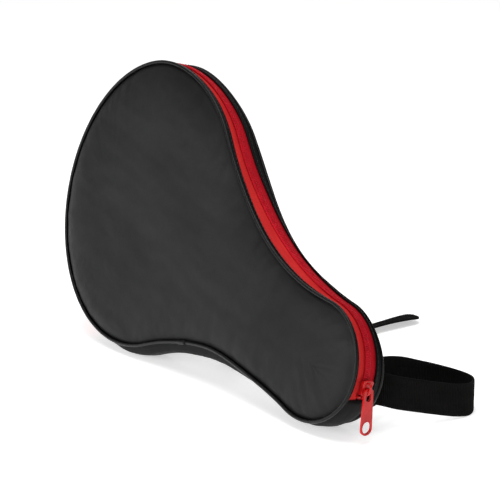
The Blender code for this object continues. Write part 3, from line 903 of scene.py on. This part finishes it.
def binding(side, material):
    """Tape folded over the raw edges of the seam inside the case."""
    distances = even(0.0, OUTLINE.length, BINDING_STEP)[:-1]
    profiles = []
    for distance in distances:
        shift = 0.00015 * wander(distance, 0.012, 7.0)
        corners = rounded(BINDING_INNER + shift, BINDING_OUTER + shift, BINDING_LOW, BINDING_HIGH, 0.0005)
        profiles.append([(offset, depth_of(side, depth)) for offset, depth in corners])
    item = sweep(side + "_seam_binding", distances, profiles, material, closed=True)
    place(item, BODIES[side], "lining_black", side + "_binding")


# --------------------------------------------------------------------------- side wall

GUSSET_FRONT = 0.0011
GUSSET_BACK = CASE_DEPTH - 0.0011
GUSSET_STEP = 0.0016
GUSSET_STEPS_ACROSS = 22
GUSSET_SET_BACK = 0.0003
GUSSET_BULGE = 0.0019
GUSSET_SAG = [(0.575, 0.055, 0.0022), (0.645, 0.10, 0.0056), (0.77, 0.05, 0.0014)]
GUSSET_GATHERS = 0.0005
GUSSET_SLACK = 0.0005
GUSSET_FINE_SLACK = 0.0003
GUSSET_END_REACH = 0.009
GUSSET_TONGUE = 0.0042
SLIDER_END_TONGUE = 0.0018
TONGUE_OFFSET = -0.00155
TONGUE_STEP = 0.001


def gusset_offset(distance, share, sag, ease):
    """How far the side wall stands out at a share of its width: its bulge, gathers and slack."""
    width = GUSSET_BACK - GUSSET_FRONT
    skew = share ** (1.0 - 60.0 * sag)
    bulge = (GUSSET_BULGE * ease + sag) * (1.0 - abs(2.0 * skew - 1.0) ** (2.6 + 300.0 * sag))
    near_edge = min(share, 1.0 - share) * width
    gather = GUSSET_GATHERS * noise.noise(Vector((distance / 0.006, share * 1.5, 4.0)))
    gather *= math.exp(-near_edge / 0.005) * (1.0 - math.exp(-near_edge / 0.0006))
    slack = GUSSET_SLACK * noise.noise(Vector((distance / 0.03, share * 2.0, 8.0)))
    slack += GUSSET_FINE_SLACK * noise.noise(Vector((distance / 0.013, share * 5.0, 3.0)))
    slack *= math.sin(math.pi * share)
    return bulge - GUSSET_SET_BACK + (gather + slack) * ease


def gusset(material):
    """The plain side wall.

    Its ends run on as tongues under the ends of the zipper tapes.
    """
    start = ZIPPER_LENGTH - GUSSET_TONGUE
    end = OUTLINE.length + SLIDER_END_TONGUE
    first = ZIPPER_LENGTH + END_GAP
    last = OUTLINE.length - END_GAP
    stretches = [
        even(start, first - 0.0001, TONGUE_STEP),
        even(first, last, GUSSET_STEP),
        even(last + 0.0001, end, TONGUE_STEP),
    ]
    distances = np.concatenate(stretches)
    profiles = []
    for distance in distances:
        sag = float(swelling(distance, GUSSET_SAG))
        tongue = distance < first or distance > last
        to_end = max(min(distance - first, last - distance), 0.0)
        ease = 1.0 - 0.85 * math.exp(-to_end / GUSSET_END_REACH)
        outer = []
        for share in np.linspace(0.0, 1.0, GUSSET_STEPS_ACROSS + 1):
            offset = TONGUE_OFFSET if tongue else gusset_offset(distance, share, sag, ease)
            outer.append((offset, GUSSET_FRONT + (GUSSET_BACK - GUSSET_FRONT) * share))
        profiles.append(outer + [(offset - CLOTH_THICKNESS, depth) for offset, depth in reversed(outer)])
    item = sweep("side_wall", distances, profiles, material)
    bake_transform(item)
    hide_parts("gusset")


# --------------------------------------------------------------------------- zipper

STRIP_FRONT_EDGE = 0.0026
STRIP_REAR_EDGE = 0.0176
STRIP_NARROWING = [(0.06, 0.055, 0.0005), (0.12, 0.09, 0.0005), (0.225, 0.07, -0.0009)]
STRIP_MARGIN = 0.0014
STRIP_HALF = 0.00045
STRIP_FOLD = 0.0003
STRIP_STEP = 0.002
TAPE_FRONT_EDGE = 0.0018
TAPE_REAR_EDGE = 0.0194
TAPE_GAP = 0.0009
TAPE_TOP = -0.0007
TAPE_BOTTOM = -0.0013
TAPE_STEP = 0.0012
TAPE_STEPS_ACROSS = 14
TAPE_RIBS = 6
TAPE_RIB_HEIGHT = 0.00005
TOOTH_PITCH = 0.0012
TOOTH_REACH = 0.0021
COIL_HEAD_REACH = 0.0003
COIL_LEAN = 0.00022
COIL_RISE = 0.0002
COIL_BASE_BOTTOM = -0.0004
COIL_BASE_TOP = 0.00052
COIL_BASE_REACH = 0.00012
# Each loop of the coil: shares of its way across, and its radius there.
COIL_LOOP = [(0.0, 0.0004), (0.12, 0.00056), (0.5, 0.00054), (0.85, 0.00058), (1.0, 0.00036)]
THREAD_SIDES = 6
STITCH_LENGTH = 0.0024
STITCH_PITCH = 0.0031
STITCH_RADIUS = 0.00015
STITCH_MARGIN = 0.001
# Each stitch: shares of its length, and its rise and radius there in thread radii.
STITCH_SHAPE = [
    (-0.5, -1.4, 0.55),
    (-0.34, 0.2, 0.95),
    (0.0, 0.55, 1.0),
    (0.34, 0.2, 0.95),
    (0.5, -1.4, 0.55),
]
STOP_BEFORE_COIL = 0.001
STOP_ASIDE = 0.0018
END_STOP_WIDTH = 0.0022
START_STOP_WIDTH = 0.0056


def zipper_strip(side, low, high, material):
    """A band of nylon with its edge folded under beside the zipper tape."""
    distances = even(END_GAP, ZIPPER_LENGTH - END_GAP, STRIP_STEP)
    profiles = []
    for distance in distances:
        lift = 0.00012 * wander(distance, 0.01, low * 1000.0)
        narrowing = float(swelling(distance, STRIP_NARROWING))
        near = low + (narrowing if side == "rear" else 0.0)
        far = high - (narrowing if side == "front" else 0.0)
        profile = []
        for offset, depth in rounded(lift - STRIP_HALF, lift + STRIP_HALF, near, far, 0.00035):
            share = (depth - near) / (far - near)
            if offset > lift:
                to_fold = far - depth if side == "front" else depth - near
                offset += STRIP_FOLD * math.exp(-to_fold / 0.0012)
                offset += STRIP_FOLD * math.sin(math.pi * min(max(share, 0.0), 1.0))
            profile.append((offset, depth))
        profiles.append(profile)
    item = sweep(side + "_strip_cloth", distances, profiles, material)
    place(item, BODIES[side], "nylon_black", side + "_zipper_strip")


def zipper_tape(side, low, high, material):
    """Woven tape with lengthwise ribs, rippled a little between the stitches."""
    distances = even(END_GAP, ZIPPER_LENGTH - END_GAP, TAPE_STEP)
    shares = np.linspace(0.0, 1.0, TAPE_STEPS_ACROSS + 1)
    profiles = []
    for distance in distances:
        ripple = 0.00008 * wander(distance, 0.004, low * 900.0)
        top = []
        for share in shares:
            rib = TAPE_RIB_HEIGHT * math.cos(2.0 * math.pi * TAPE_RIBS * share)
            top.append((TAPE_TOP + ripple + rib, low + (high - low) * share))
        profiles.append(top + [(TAPE_BOTTOM + ripple, depth) for _, depth in reversed(top)])
    item = sweep(side + "_tape_weave", distances, profiles, material)
    place(item, BODIES[side], "tape_red", side + "_zipper_tape")


def coil(side, direction, material):
    """A row of coil loops: each crosses the tape's edge and ends in a head beyond the middle."""
    root = ZIPPER_CENTRE_Y - direction * TOOTH_REACH
    head = ZIPPER_CENTRE_Y + direction * COIL_HEAD_REACH
    phase = 0.8 if direction > 0.0 else 1.3
    places = []
    faces = []
    for number in range(int((COIL_LAST - COIL_FIRST) / TOOTH_PITCH - 2.0)):
        centre = COIL_FIRST + TOOTH_PITCH * (number + phase)
        faces += capped_rings(len(COIL_LOOP), THREAD_SIDES, len(places))
        for share, radius in COIL_LOOP:
            depth = root + (head - root) * share
            lean = COIL_LEAN * direction * (share - 0.5)
            rise = COIL_RISE * (1.0 + math.sin(math.pi * share))
            for along, up in round_points(radius, circle(THREAD_SIDES)):
                places.append((centre + lean + along * 0.95, rise + up, depth))
    tip = ZIPPER_CENTRE_Y - direction * COIL_BASE_REACH
    base = rounded(COIL_BASE_BOTTOM, COIL_BASE_TOP, min(root, tip), max(root, tip), 0.0003)
    stations = even(COIL_FIRST + 0.0002, COIL_LAST - 0.0002, STRIP_STEP)
    faces += capped_rings(len(stations), len(base), len(places))
    places += [(distance, offset, depth) for distance in stations for offset, depth in base]
    grain = np.array(places)[:, [0, 2, 1]]
    item = mesh_object(side + "_coil_loops", on_outline(places), faces, material, grain)
    place(item, BODIES[side], "coil_red", side + "_coil")


def topstitch(side, depth, offset, material):
    """A row of stitches beside the zipper, each a short thread that dips in at both ends."""
    places = []
    faces = []
    for number in range(int((ZIPPER_LENGTH - 2.0 * STITCH_MARGIN) / STITCH_PITCH)):
        centre = STITCH_MARGIN + STITCH_PITCH * (number + 0.5)
        faces += capped_rings(len(STITCH_SHAPE), THREAD_SIDES, len(places))
        for along, rise, size in STITCH_SHAPE:
            middle = offset + STITCH_RADIUS * rise
            for across, up in round_points(STITCH_RADIUS * size, circle(THREAD_SIDES)):
                places.append((centre + along * STITCH_LENGTH, middle + up, depth + across))
    grain = np.array(places)[:, [0, 2, 1]]
    item = mesh_object(side + "_topstitch", on_outline(places), faces, material, grain)
    place(item, BODIES[side], "nylon_black")


def outline_matrix(distance, depth):
    """Axes at a place on the outline: x outwards, y into the case, z along the outline."""
    points, normals = OUTLINE.at(np.array([distance]))
    out = Vector((normals[0][0], 0.0, normals[0][1]))
    inward = Vector((0.0, 1.0, 0.0))
    turn = Matrix((out, inward, out.cross(inward))).transposed().to_4x4()
    return CASE @ Matrix.Translation((points[0][0], depth, points[0][1])) @ turn


def add_box(work, size, centre):
    corners = bmesh.ops.create_cube(work, size=1.0)["verts"]
    bmesh.ops.scale(work, vec=size, verts=corners)
    bmesh.ops.translate(work, vec=centre, verts=corners)


def round_off(work, edges, offset, segments):
    bmesh.ops.bevel(work, geom=edges, offset=offset, segments=segments, profile=0.5, affect="EDGES")


def tube_faces(work, rings, closed=False):
    """Quads between rings of vertices, run round in a loop or with a face over each end."""
    following = rings[1:] + rings[:1] if closed else rings[1:]
    for first, second in zip(rings, following):
        for corner in range(len(first)):
            other = (corner + 1) % len(first)
            work.faces.new((first[corner], first[other], second[other], second[corner]))
    if not closed:
        work.faces.new(rings[0])
        work.faces.new(list(reversed(rings[-1])))


def finish_bmesh(name, work, matrix, material):
    """Places a bmesh by a matrix and turns it into a piece; its grain is its own position."""
    bmesh.ops.transform(work, matrix=matrix, verts=work.verts)
    bmesh.ops.recalc_face_normals(work, faces=work.faces)
    mesh = bpy.data.meshes.new(name)
    work.to_mesh(mesh)
    work.free()
    item = add_piece(name, mesh, material, [vertex.co for vertex in mesh.vertices])
    mesh.shade_smooth()
    mesh.set_sharp_from_angle(angle=math.radians(50.0))
    return item


# A coil's stop: height, length along the zipper and centre of its groove's bar and its two lips.
CLIP_PARTS = [
    (0.0018, 0.00088, (0.0006, 0.0, 0.0)),
    (0.0009, 0.000605, (0.0011, 0.0, 0.00035)),
    (0.0009, 0.000605, (0.0011, 0.0, -0.00035)),
]


def stop_clip(name, body, node, distance, depth, width, material):
    """A bent metal clip across the end of a coil, with a pressed groove."""
    work = bmesh.new()
    for height, length, centre in CLIP_PARTS:
        add_box(work, (height, width, length), centre)
    round_off(work, work.edges[:], 0.00018, 2)
    item = finish_bmesh(name + "_stop_clip", work, outline_matrix(distance, depth), material)
    place(item, body, "lacquer_red", node)


def extrude_outline(work, outline, low, high, bevel):
    """A plate of a flat (y, z) outline between two heights, its two faces' rims rounded."""
    rings = [[work.verts.new((height, y, z)) for y, z in outline] for height in (low, high)]
    faces = [work.faces.new(rings[0]), work.faces.new(list(reversed(rings[1])))]
    for index in range(len(outline)):
        other = (index + 1) % len(outline)
        work.faces.new((rings[0][index], rings[0][other], rings[1][other], rings[1][index]))
    round_off(work, [edge for face in faces for edge in face.edges], bevel, 3)


PLATE_BEVEL = 0.00028
SIDE_FLANGE_WIDTH = 0.0007
SIDE_FLANGE_BEVEL = 0.00012
POST_SIZE = (0.0009, 0.0015)
POST_PLACE = -0.0031
BRIDGE_STEPS = 24
BRIDGE_FOOT = 0.0033
BRIDGE_RISE = 0.0029
BRIDGE_SUNK = 0.0003
BRIDGE_HALF_WIDTH = 0.0008
BRIDGE_HALF_THICK = 0.00045
# Right half of the slider's plan, from its closed end to its shoulders, as shares of its half sizes.
SLIDER_PLAN = [
    (0.30, -1.0),
    (0.62, -0.95),
    (0.78, -0.72),
    (0.82, -0.3),
    (0.9, 0.15),
    (1.0, 0.52),
    (0.97, 0.8),
    (0.72, 0.97),
    (0.35, 1.0),
]


def slider_outline():
    """Plan of the slider's plates: broad shoulders at the open end, tapering to the closed end."""
    right = [(y * SLIDER_WIDTH / 2.0, z * SLIDER_LENGTH / 2.0) for y, z in SLIDER_PLAN]
    return right + [(-y, z) for y, z in reversed(right)]


def slider(material):
    """Top plate with side flanges, bottom plate, post and the bridge that holds the tab."""
    work = bmesh.new()
    outline = slider_outline()
    top = SLIDER_TOP + SLIDER_PLATE
    extrude_outline(work, outline, SLIDER_TOP, top, PLATE_BEVEL)
    extrude_outline(work, outline, SLIDER_BOTTOM - SLIDER_PLATE, SLIDER_BOTTOM, PLATE_BEVEL)
    flange_heights = (
        (SLIDER_TOP - 0.0009, SLIDER_TOP + 0.0003),
        (SLIDER_BOTTOM - 0.0003, SLIDER_BOTTOM + 0.0007),
    )
    for side in (-1.0, 1.0):
        flange = [(side * y, z) for y, z in outline[2:7]]
        flange += [(side * (y - SIDE_FLANGE_WIDTH), z) for y, z in reversed(outline[2:7])]
        for low, high in flange_heights:
            extrude_outline(work, flange, low, high, SIDE_FLANGE_BEVEL)
    add_box(work, (top - SLIDER_BOTTOM, *POST_SIZE), ((top + SLIDER_BOTTOM) / 2.0, 0.0, POST_PLACE))
    bridge(work, top - BRIDGE_SUNK)
    distance = OUTLINE.distance_to(handle_arc(np.array([SLIDER_ANGLE]))[0][0])
    item = finish_bmesh("zipper_slider", work, outline_matrix(distance, ZIPPER_CENTRE_Y), material)
    place(item, "slider", "lacquer_red", "slider_body")


def squared(radii, angles, power):
    """Points of a round ring drawn out towards a rectangle; a smaller power is squarer."""

    def reach(radius, side):
        return radius * math.copysign(abs(side) ** power, side)

    return [(reach(radii[0], math.cos(angle)), reach(radii[1], math.sin(angle))) for angle in angles]


def bridge(work, base):
    """A rounded bar bent over the plate: up from one foot, along and down to the other."""
    bend = [math.pi * step / BRIDGE_STEPS for step in range(BRIDGE_STEPS + 1)]
    path = [(base + up, -along) for along, up in squared((BRIDGE_FOOT, BRIDGE_RISE), bend, 0.55)]
    rings = []
    for index, (x, z) in enumerate(path):
        before = path[max(index - 1, 0)]
        after = path[min(index + 1, len(path) - 1)]
        tangent = Vector((after[0] - before[0], after[1] - before[1])).normalized()
        ring = []
        for wide, thick in squared((BRIDGE_HALF_WIDTH, BRIDGE_HALF_THICK), circle(12), 0.6):
            ring.append(work.verts.new((x - tangent.y * thick, wide, z + tangent.x * thick)))
        rings.append(ring)
    tube_faces(work, rings)


TAB_HALF_THICK = 0.00055
TAB_TOP_HALF = 0.0033
TAB_WIDENING = 0.001
TAB_STEPS = 30
TAB_TOP_ROUND = 0.0022
TAB_BOTTOM_ROUND = 0.0039
EYE_SIZE = (0.0034, 0.0062)
EYE_PLACE = -0.0038
HOLE_SIZE = (0.0062, 0.0068)
HOLE_ABOVE_END = 0.0046
RIM_WIDTH = 0.0018
RIM_HALF_THICK = 0.0008
HOLE_POINTS = 32


def slot_ring(width, length, centre):
    """Points round a slot with round ends, evenly by angle."""
    radius = width / 2.0
    straight = (length - width) / 2.0
    ring = []
    for step in range(HOLE_POINTS):
        angle = 2.0 * math.pi * (step + 0.5) / HOLE_POINTS
        end = 1.0 if math.sin(angle) > 0.0 else -1.0
        ring.append((radius * math.cos(angle), centre + end * straight + radius * math.sin(angle)))
    return ring


def pull_tab(material):
    """A tab that widens to its round end, with an eye for the bridge and a rimmed finger hole."""
    low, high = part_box("pull_tab")
    pivot = Vector(JOINTS["pull_swing"]["pos_m"])
    lean = LEAN_BACK - PULL_SLACK
    top = high.z - pivot.z
    bottom = top - (high.z - low.z) / math.cos(lean)
    hole_centre = bottom + HOLE_ABOVE_END
    eye = slot_ring(*EYE_SIZE, EYE_PLACE)
    hole = slot_ring(*HOLE_SIZE, hole_centre)
    rim = slot_ring(*[size + RIM_WIDTH for size in HOLE_SIZE], hole_centre)
    work = bmesh.new()
    plate_faces(work, tab_outline(top, bottom), [eye, hole], TAB_HALF_THICK)
    rings = []
    for inner, outer in zip(hole, rim):
        middle = (Vector(inner) + Vector(outer)) / 2.0
        out = (Vector(outer) - Vector(inner)) / 2.0
        ring = []
        for angle in circle(10):
            point = middle + out * math.cos(angle)
            ring.append(work.verts.new((RIM_HALF_THICK * math.sin(angle), point.x, point.y)))
        rings.append(ring)
    tube_faces(work, rings, closed=True)
    matrix = Matrix.Translation(pivot) @ Matrix.Rotation(-lean, 4, "X")
    item = finish_bmesh("zipper_pull", work, matrix, material)
    place(item, "pull", "lacquer_red", "pull_tab")


def tab_outline(top, bottom):
    """Points round the tab: its half-widths from its round top to its round bottom, and back."""
    right = []
    for step in range(TAB_STEPS + 1):
        down = (1.0 - math.cos(math.pi * step / TAB_STEPS)) / 2.0
        z = top + (bottom - top) * down
        near_top = max(0.0, 1.0 - (top - z) / TAB_TOP_ROUND)
        near_bottom = max(0.0, 1.0 - (z - bottom) / TAB_BOTTOM_ROUND)
        width = TAB_TOP_HALF + TAB_WIDENING * down
        width *= math.sqrt(max(0.0, 1.0 - near_top**2.4)) * math.sqrt(max(0.0, 1.0 - near_bottom**2))
        right.append((width, z))
    return right + [(-width, z) for width, z in reversed(right[1:-1])]


def plate_faces(work, outline, holes, half):
    """A plate in the y-z plane with holes: both faces filled by triangles, walls with soft rims."""
    edges = []
    start = 0
    for ring in (outline, *holes):
        count = len(ring)
        edges += [(start + index, start + (index + 1) % count) for index in range(count)]
        start += count
    flat = [Vector(point) for ring in (outline, *holes) for point in ring]
    places, _, triangles = delaunay_2d_cdt(flat, edges, [], 1, 1e-7)[:3]
    kept = []
    for face in triangles:
        middle = sum((places[index] for index in face), Vector((0.0, 0.0))) / len(face)
        if not any(inside(np.array(hole), middle.x, middle.y) for hole in holes):
            kept.append(face)
    sheets = []
    for height in (-half, half):
        sheets.append([work.verts.new((height, point.x, point.y)) for point in places])
        for face in kept:
            work.faces.new([sheets[-1][index] for index in face])
    for a, b in edges:
        work.faces.new((sheets[0][a], sheets[0][b], sheets[1][b], sheets[1][a]))
    rims = [edge for edge in work.edges if edge.calc_face_angle(0.0) > math.radians(60.0)]
    round_off(work, rims, 0.00018, 2)


# --------------------------------------------------------------------------- straps

ROUTE_STEPS = 12
WEBBING_EDGE = 0.0006
RIB_PITCH = 0.00115
RIB_HEIGHT = 0.00016
# Shares of the webbing's width, closer together at its rounded woven edges.
WEBBING_SHARES = [0.0, 0.03, 0.08, 0.15, 0.3, 0.5, 0.7, 0.85, 0.92, 0.97, 1.0]


def smooth_route(points):
    """Points along a Catmull-Rom spline through the given points."""
    route = []
    for index in range(len(points) - 1):
        before = Vector(points[max(index - 1, 0)])
        start = Vector(points[index])
        end = Vector(points[index + 1])
        after = Vector(points[min(index + 2, len(points) - 1)])
        for step in range(ROUTE_STEPS):
            t = step / ROUTE_STEPS
            line = 2.0 * start + (end - before) * t
            curve = (2.0 * before - 5.0 * start + 4.0 * end - after) * t * t
            bend = (3.0 * start - 3.0 * end + after - before) * t * t * t
            route.append(0.5 * (line + curve + bend))
    route.append(Vector(points[-1]))
    return route


def stand_offset():
    """From the straps' own axes to the frame, by the seam of the wrist strap."""
    seam = (Vector(WRIST_STRAP_ROUTE[0]) + Vector(WRIST_STRAP_ROUTE[-1])) / 2.0
    joint = Vector(JOINTS["wrist_strap_swing"]["pos_m"])
    return Vector((joint.x - seam.x, joint.y - seam.y, 0.0))


def upright(_direction, _progress):
    return Vector((0.0, 0.0, 1.0))


def rolled_flat(direction, progress):
    """Width direction of a band that lies flat, its far edge raised a little towards its tip."""
    roll = REAR_STRAP_ROLL * math.sin(math.pi * progress * progress)
    level = direction.cross(Vector((0.0, 0.0, 1.0))).normalized()
    return level * math.cos(roll) + Vector((0.0, 0.0, math.sin(roll)))


def webbing(strap, body, route, width, across, lying, material):
    """Ribbed webbing along a route, with smooth rounded edges; a lying band has a rounded tip."""
    offset = stand_offset() + Vector((0.0, 0.0, STRAP_THICKNESS / 2.0 if lying else 0.0))
    coarse = np.array([tuple(point + offset) for point in smooth_route(route)])
    lengths = np.concatenate([[0.0], np.cumsum(np.linalg.norm(np.diff(coarse, axis=0), axis=1))])
    distances = even(0.0, lengths[-1], RIB_PITCH / 5.0)
    line = np.column_stack([np.interp(distances, lengths, column) for column in coarse.T])
    progress = np.interp(distances, lengths, np.linspace(0.0, 1.0, len(coarse)))
    vertices = []
    grain = []
    for index, distance in enumerate(distances):
        ahead = min(index + 6, len(line) - 1)
        behind = max(index - 6, 0)
        direction = Vector(line[ahead] - line[behind]).normalized()
        span = across(direction, progress[index]).normalized()
        thick = direction.cross(span).normalized()
        rib = RIB_HEIGHT * math.cos(2.0 * math.pi * distance / RIB_PITCH)
        to_tip = min((lengths[-1] - distance) / (width / 2.0), 1.0) if lying else 1.0
        reach = math.sqrt(max(1e-4, 1.0 - (1.0 - to_tip) ** 2.4))
        top = []
        bottom = []
        for share in WEBBING_SHARES:
            edge = min(share, 1.0 - share) * width
            half = STRAP_THICKNESS / 2.0 - 0.0001
            half *= math.sqrt(1.0 - max(0.0, 1.0 - edge / WEBBING_EDGE) ** 2 * 0.8)
            half += rib * min(1.0, edge / (2.0 * WEBBING_EDGE))
            wave = 0.00015 * wander(distance, 0.02, share * 2.0)
            middle = Vector(line[index]) + span * width * (0.5 + (share - 0.5) * reach) + thick * wave
            top.append(middle + thick * half)
            bottom.append(middle - thick * half)
        vertices += top + bottom[::-1]
        grain += [(distance, share * width, 0.0) for share in WEBBING_SHARES]
        grain += [(distance, share * width, STRAP_THICKNESS) for share in reversed(WEBBING_SHARES)]
    faces = capped_rings(len(distances), 2 * len(WEBBING_SHARES))
    item = mesh_object(strap + "_webbing", vertices, faces, material, grain)
    place(item, body, "webbing_black", strap + "_strap")


# Outline distances between which the straps' roots are sewn into the rear seam, from low to high
# and from the head to the handle.
WRIST_SEAM = (0.782, 0.8135)
REAR_SEAM = (0.622, 0.6385)
ROOT_RADIUS = 0.0023
ROOT_SEAM_HALF = 0.0008
ROOT_SEAM_OFFSET = -0.0012
ROOT_SEAM_BEHIND = 0.0002
ROOT_RIBS = 3
ROOT_STEPS = 12
ROOT_RIB_HEIGHT = 0.00006
WRIST_ROOT_HEIGHTS = (0.0146, 0.0404)
REAR_ROOT_MARGIN = 0.0004
TACK_PLACE = 0.2
TACK_TURNS = 16
TACK_LENGTH = 0.0018
# Each thread of a tack: shares of its length, and its rise there in thread radii.
TACK_SHAPE = [(0.0, -0.4), (0.2, 0.5), (0.8, 0.5), (1.0, -0.4)]


def strap_root(name, hinge_ends, seam_distances, material):
    """Webbing folded round a strap's end and sewn into the rear seam; the strap swings out of its fold."""
    count = 8 * ROOT_RIBS + 1
    depth = CASE_DEPTH + ROOT_SEAM_BEHIND
    places = [(distance, ROOT_SEAM_OFFSET, depth) for distance in np.linspace(*seam_distances, count)]
    seam = [Vector(point) for point in on_outline(places)]
    axis = (hinge_ends[1] - hinge_ends[0]).normalized()
    width = (hinge_ends[1] - hinge_ends[0]).length
    size = ROOT_STEPS + 3
    vertices = []
    grain = []
    for index, start in enumerate(seam):
        share = index / (count - 1.0)
        hinge = hinge_ends[0].lerp(hinge_ends[1], share)
        reach = hinge - start
        run = (reach - axis * reach.dot(axis)).normalized()
        beside = axis.cross(run).normalized()
        radius = ROOT_RADIUS + ROOT_RIB_HEIGHT * math.cos(4.0 * math.pi * ROOT_RIBS * share)
        vertices.append(start - beside * ROOT_SEAM_HALF)
        for step in range(ROOT_STEPS + 1):
            angle = math.pi * (step / ROOT_STEPS - 0.5)
            vertices.append(hinge + run * radius * math.cos(angle) + beside * radius * math.sin(angle))
        vertices.append(start + beside * ROOT_SEAM_HALF)
        grain += [(corner * 0.0012, share * width, 0.0) for corner in range(size)]
    item = mesh_object(name, vertices, capped_rings(count, size), material, grain)
    item.data.set_sharp_from_angle(angle=math.radians(55.0))
    place(item, "back_half", "webbing_black")
    return seam


def bar_tack(name, ends, out, material):
    """A dense zigzag of thread sewn across a strap's root, standing a little proud of it."""
    across = ends[1] - ends[0]
    along = across.normalized().cross(out) * TACK_LENGTH / 2.0
    points = []
    for step in range(TACK_TURNS * 2 + 1):
        share = 0.06 + 0.88 * step / (TACK_TURNS * 2.0)
        points.append(ends[0] + across * share + along * (1.0 if step % 2 else -1.0))
    vertices = []
    faces = []
    for start, end in zip(points, points[1:]):
        faces += capped_rings(len(TACK_SHAPE), THREAD_SIDES, len(vertices))
        sideways = (end - start).cross(out).normalized()
        for share, rise in TACK_SHAPE:
            middle = start.lerp(end, share) + out * STITCH_RADIUS * rise
            for side, up in round_points(STITCH_RADIUS, circle(THREAD_SIDES)):
                vertices.append(middle + sideways * side + out * up)
    place(mesh_object(name, vertices, faces, material), "back_half", "webbing_black")


def sewn_root(strap, hinge_ends, seam_distances, material, thread):
    """A strap's root and the tack that closes its fold."""
    seam = strap_root(strap + "_root", hinge_ends, seam_distances, material)
    ends = [corner.lerp(hinge, TACK_PLACE) for corner, hinge in zip((seam[0], seam[-1]), hinge_ends)]
    out = (ends[1] - ends[0]).cross(hinge_ends[0] - seam[0]).normalized()
    if out.dot(INWARD) < 0.0:
        out = -out
    thick = ROOT_SEAM_HALF + (ROOT_RADIUS - ROOT_SEAM_HALF) * TACK_PLACE
    bar_tack(strap + "_tack", [end + out * thick for end in ends], out, thread)


# --------------------------------------------------------------------------- build


def add_faces():
    cloth = nylon()
    trim = piping_cloth()
    inside_cloth = lining_cloth()
    foam = foam_finish()
    cord = cord_finish()
    for side, seed in (("front", 1.0), ("back", 21.0)):
        padded_face(side, seed, cloth, foam, inside_cloth)
        piping(side, trim)
        piping_cord(side, cord)
        binding(side, inside_cloth)


def add_zipper(side_wall, thread):
    """Both halves of the zipper with their strips, the stops, the slider and its pull tab."""
    front_tape = zipper_tape_finish("front_zipper_tape", (0.55, 0.017, 0.019), (0.68, 0.029, 0.027))
    # The rear tape is the same red tape as the front one, coloured darker as painted shade for the half
    # that turns away from the light beyond the ridge.
    shaded_rear_tape = zipper_tape_finish("rear_zipper_tape", (0.42, 0.004, 0.012), (0.52, 0.008, 0.018))
    loops = coil_finish()
    metal = lacquer()
    zipper_strip("front", STRIP_MARGIN, STRIP_FRONT_EDGE, side_wall)
    zipper_strip("rear", STRIP_REAR_EDGE, CASE_DEPTH - STRIP_MARGIN, side_wall)
    zipper_tape("front", TAPE_FRONT_EDGE, ZIPPER_CENTRE_Y - TAPE_GAP, front_tape)
    zipper_tape("rear", ZIPPER_CENTRE_Y + TAPE_GAP, TAPE_REAR_EDGE, shaded_rear_tape)
    coil("front", 1.0, loops)
    coil("rear", -1.0, loops)
    topstitch("front", STRIP_FRONT_EDGE - 0.0009, 0.00085, thread)
    topstitch("rear", STRIP_REAR_EDGE + 0.001, 0.0009, thread)
    end = COIL_FIRST - STOP_BEFORE_COIL
    for side, depth in (("front", ZIPPER_CENTRE_Y - STOP_ASIDE), ("rear", ZIPPER_CENTRE_Y + STOP_ASIDE)):
        stop_clip(side, BODIES[side], side + "_end_stop", end, depth, END_STOP_WIDTH, metal)
    start = (COIL_LAST + ZIPPER_LENGTH) / 2.0
    stop_clip("start", "back_half", "start_stop", start, ZIPPER_CENTRE_Y, START_STOP_WIDTH, metal)
    slider(metal)
    pull_tab(metal)


def add_straps(thread):
    cloth = webbing_finish()
    webbing("wrist", "wrist_loop", WRIST_STRAP_ROUTE, WRIST_STRAP_WIDTH, upright, False, cloth)
    webbing("rear", "rear_tail", REAR_STRAP_ROUTE, REAR_STRAP_WIDTH, rolled_flat, True, cloth)
    wrist = JOINTS["wrist_strap_swing"]["pos_m"]
    wrist_ends = [Vector((wrist[0], wrist[1], height)) for height in WRIST_ROOT_HEIGHTS]
    sewn_root("wrist", wrist_ends, WRIST_SEAM, cloth, thread)
    rear = JOINTS["rear_strap_swing"]["pos_m"]
    middle = REAR_STRAP_ROUTE[0][0] + stand_offset().x
    half = REAR_STRAP_WIDTH / 2.0 + REAR_ROOT_MARGIN
    rear_ends = [Vector((middle + aside, rear[1], rear[2])) for aside in (-half, half)]
    sewn_root("rear", rear_ends, REAR_SEAM, cloth, thread)


def build():
    add_camera()
    add_studio()
    add_faces()
    side_wall = shaded_side_cloth()
    thread = thread_finish()
    gusset(side_wall)
    add_zipper(side_wall, thread)
    add_straps(thread)


build()
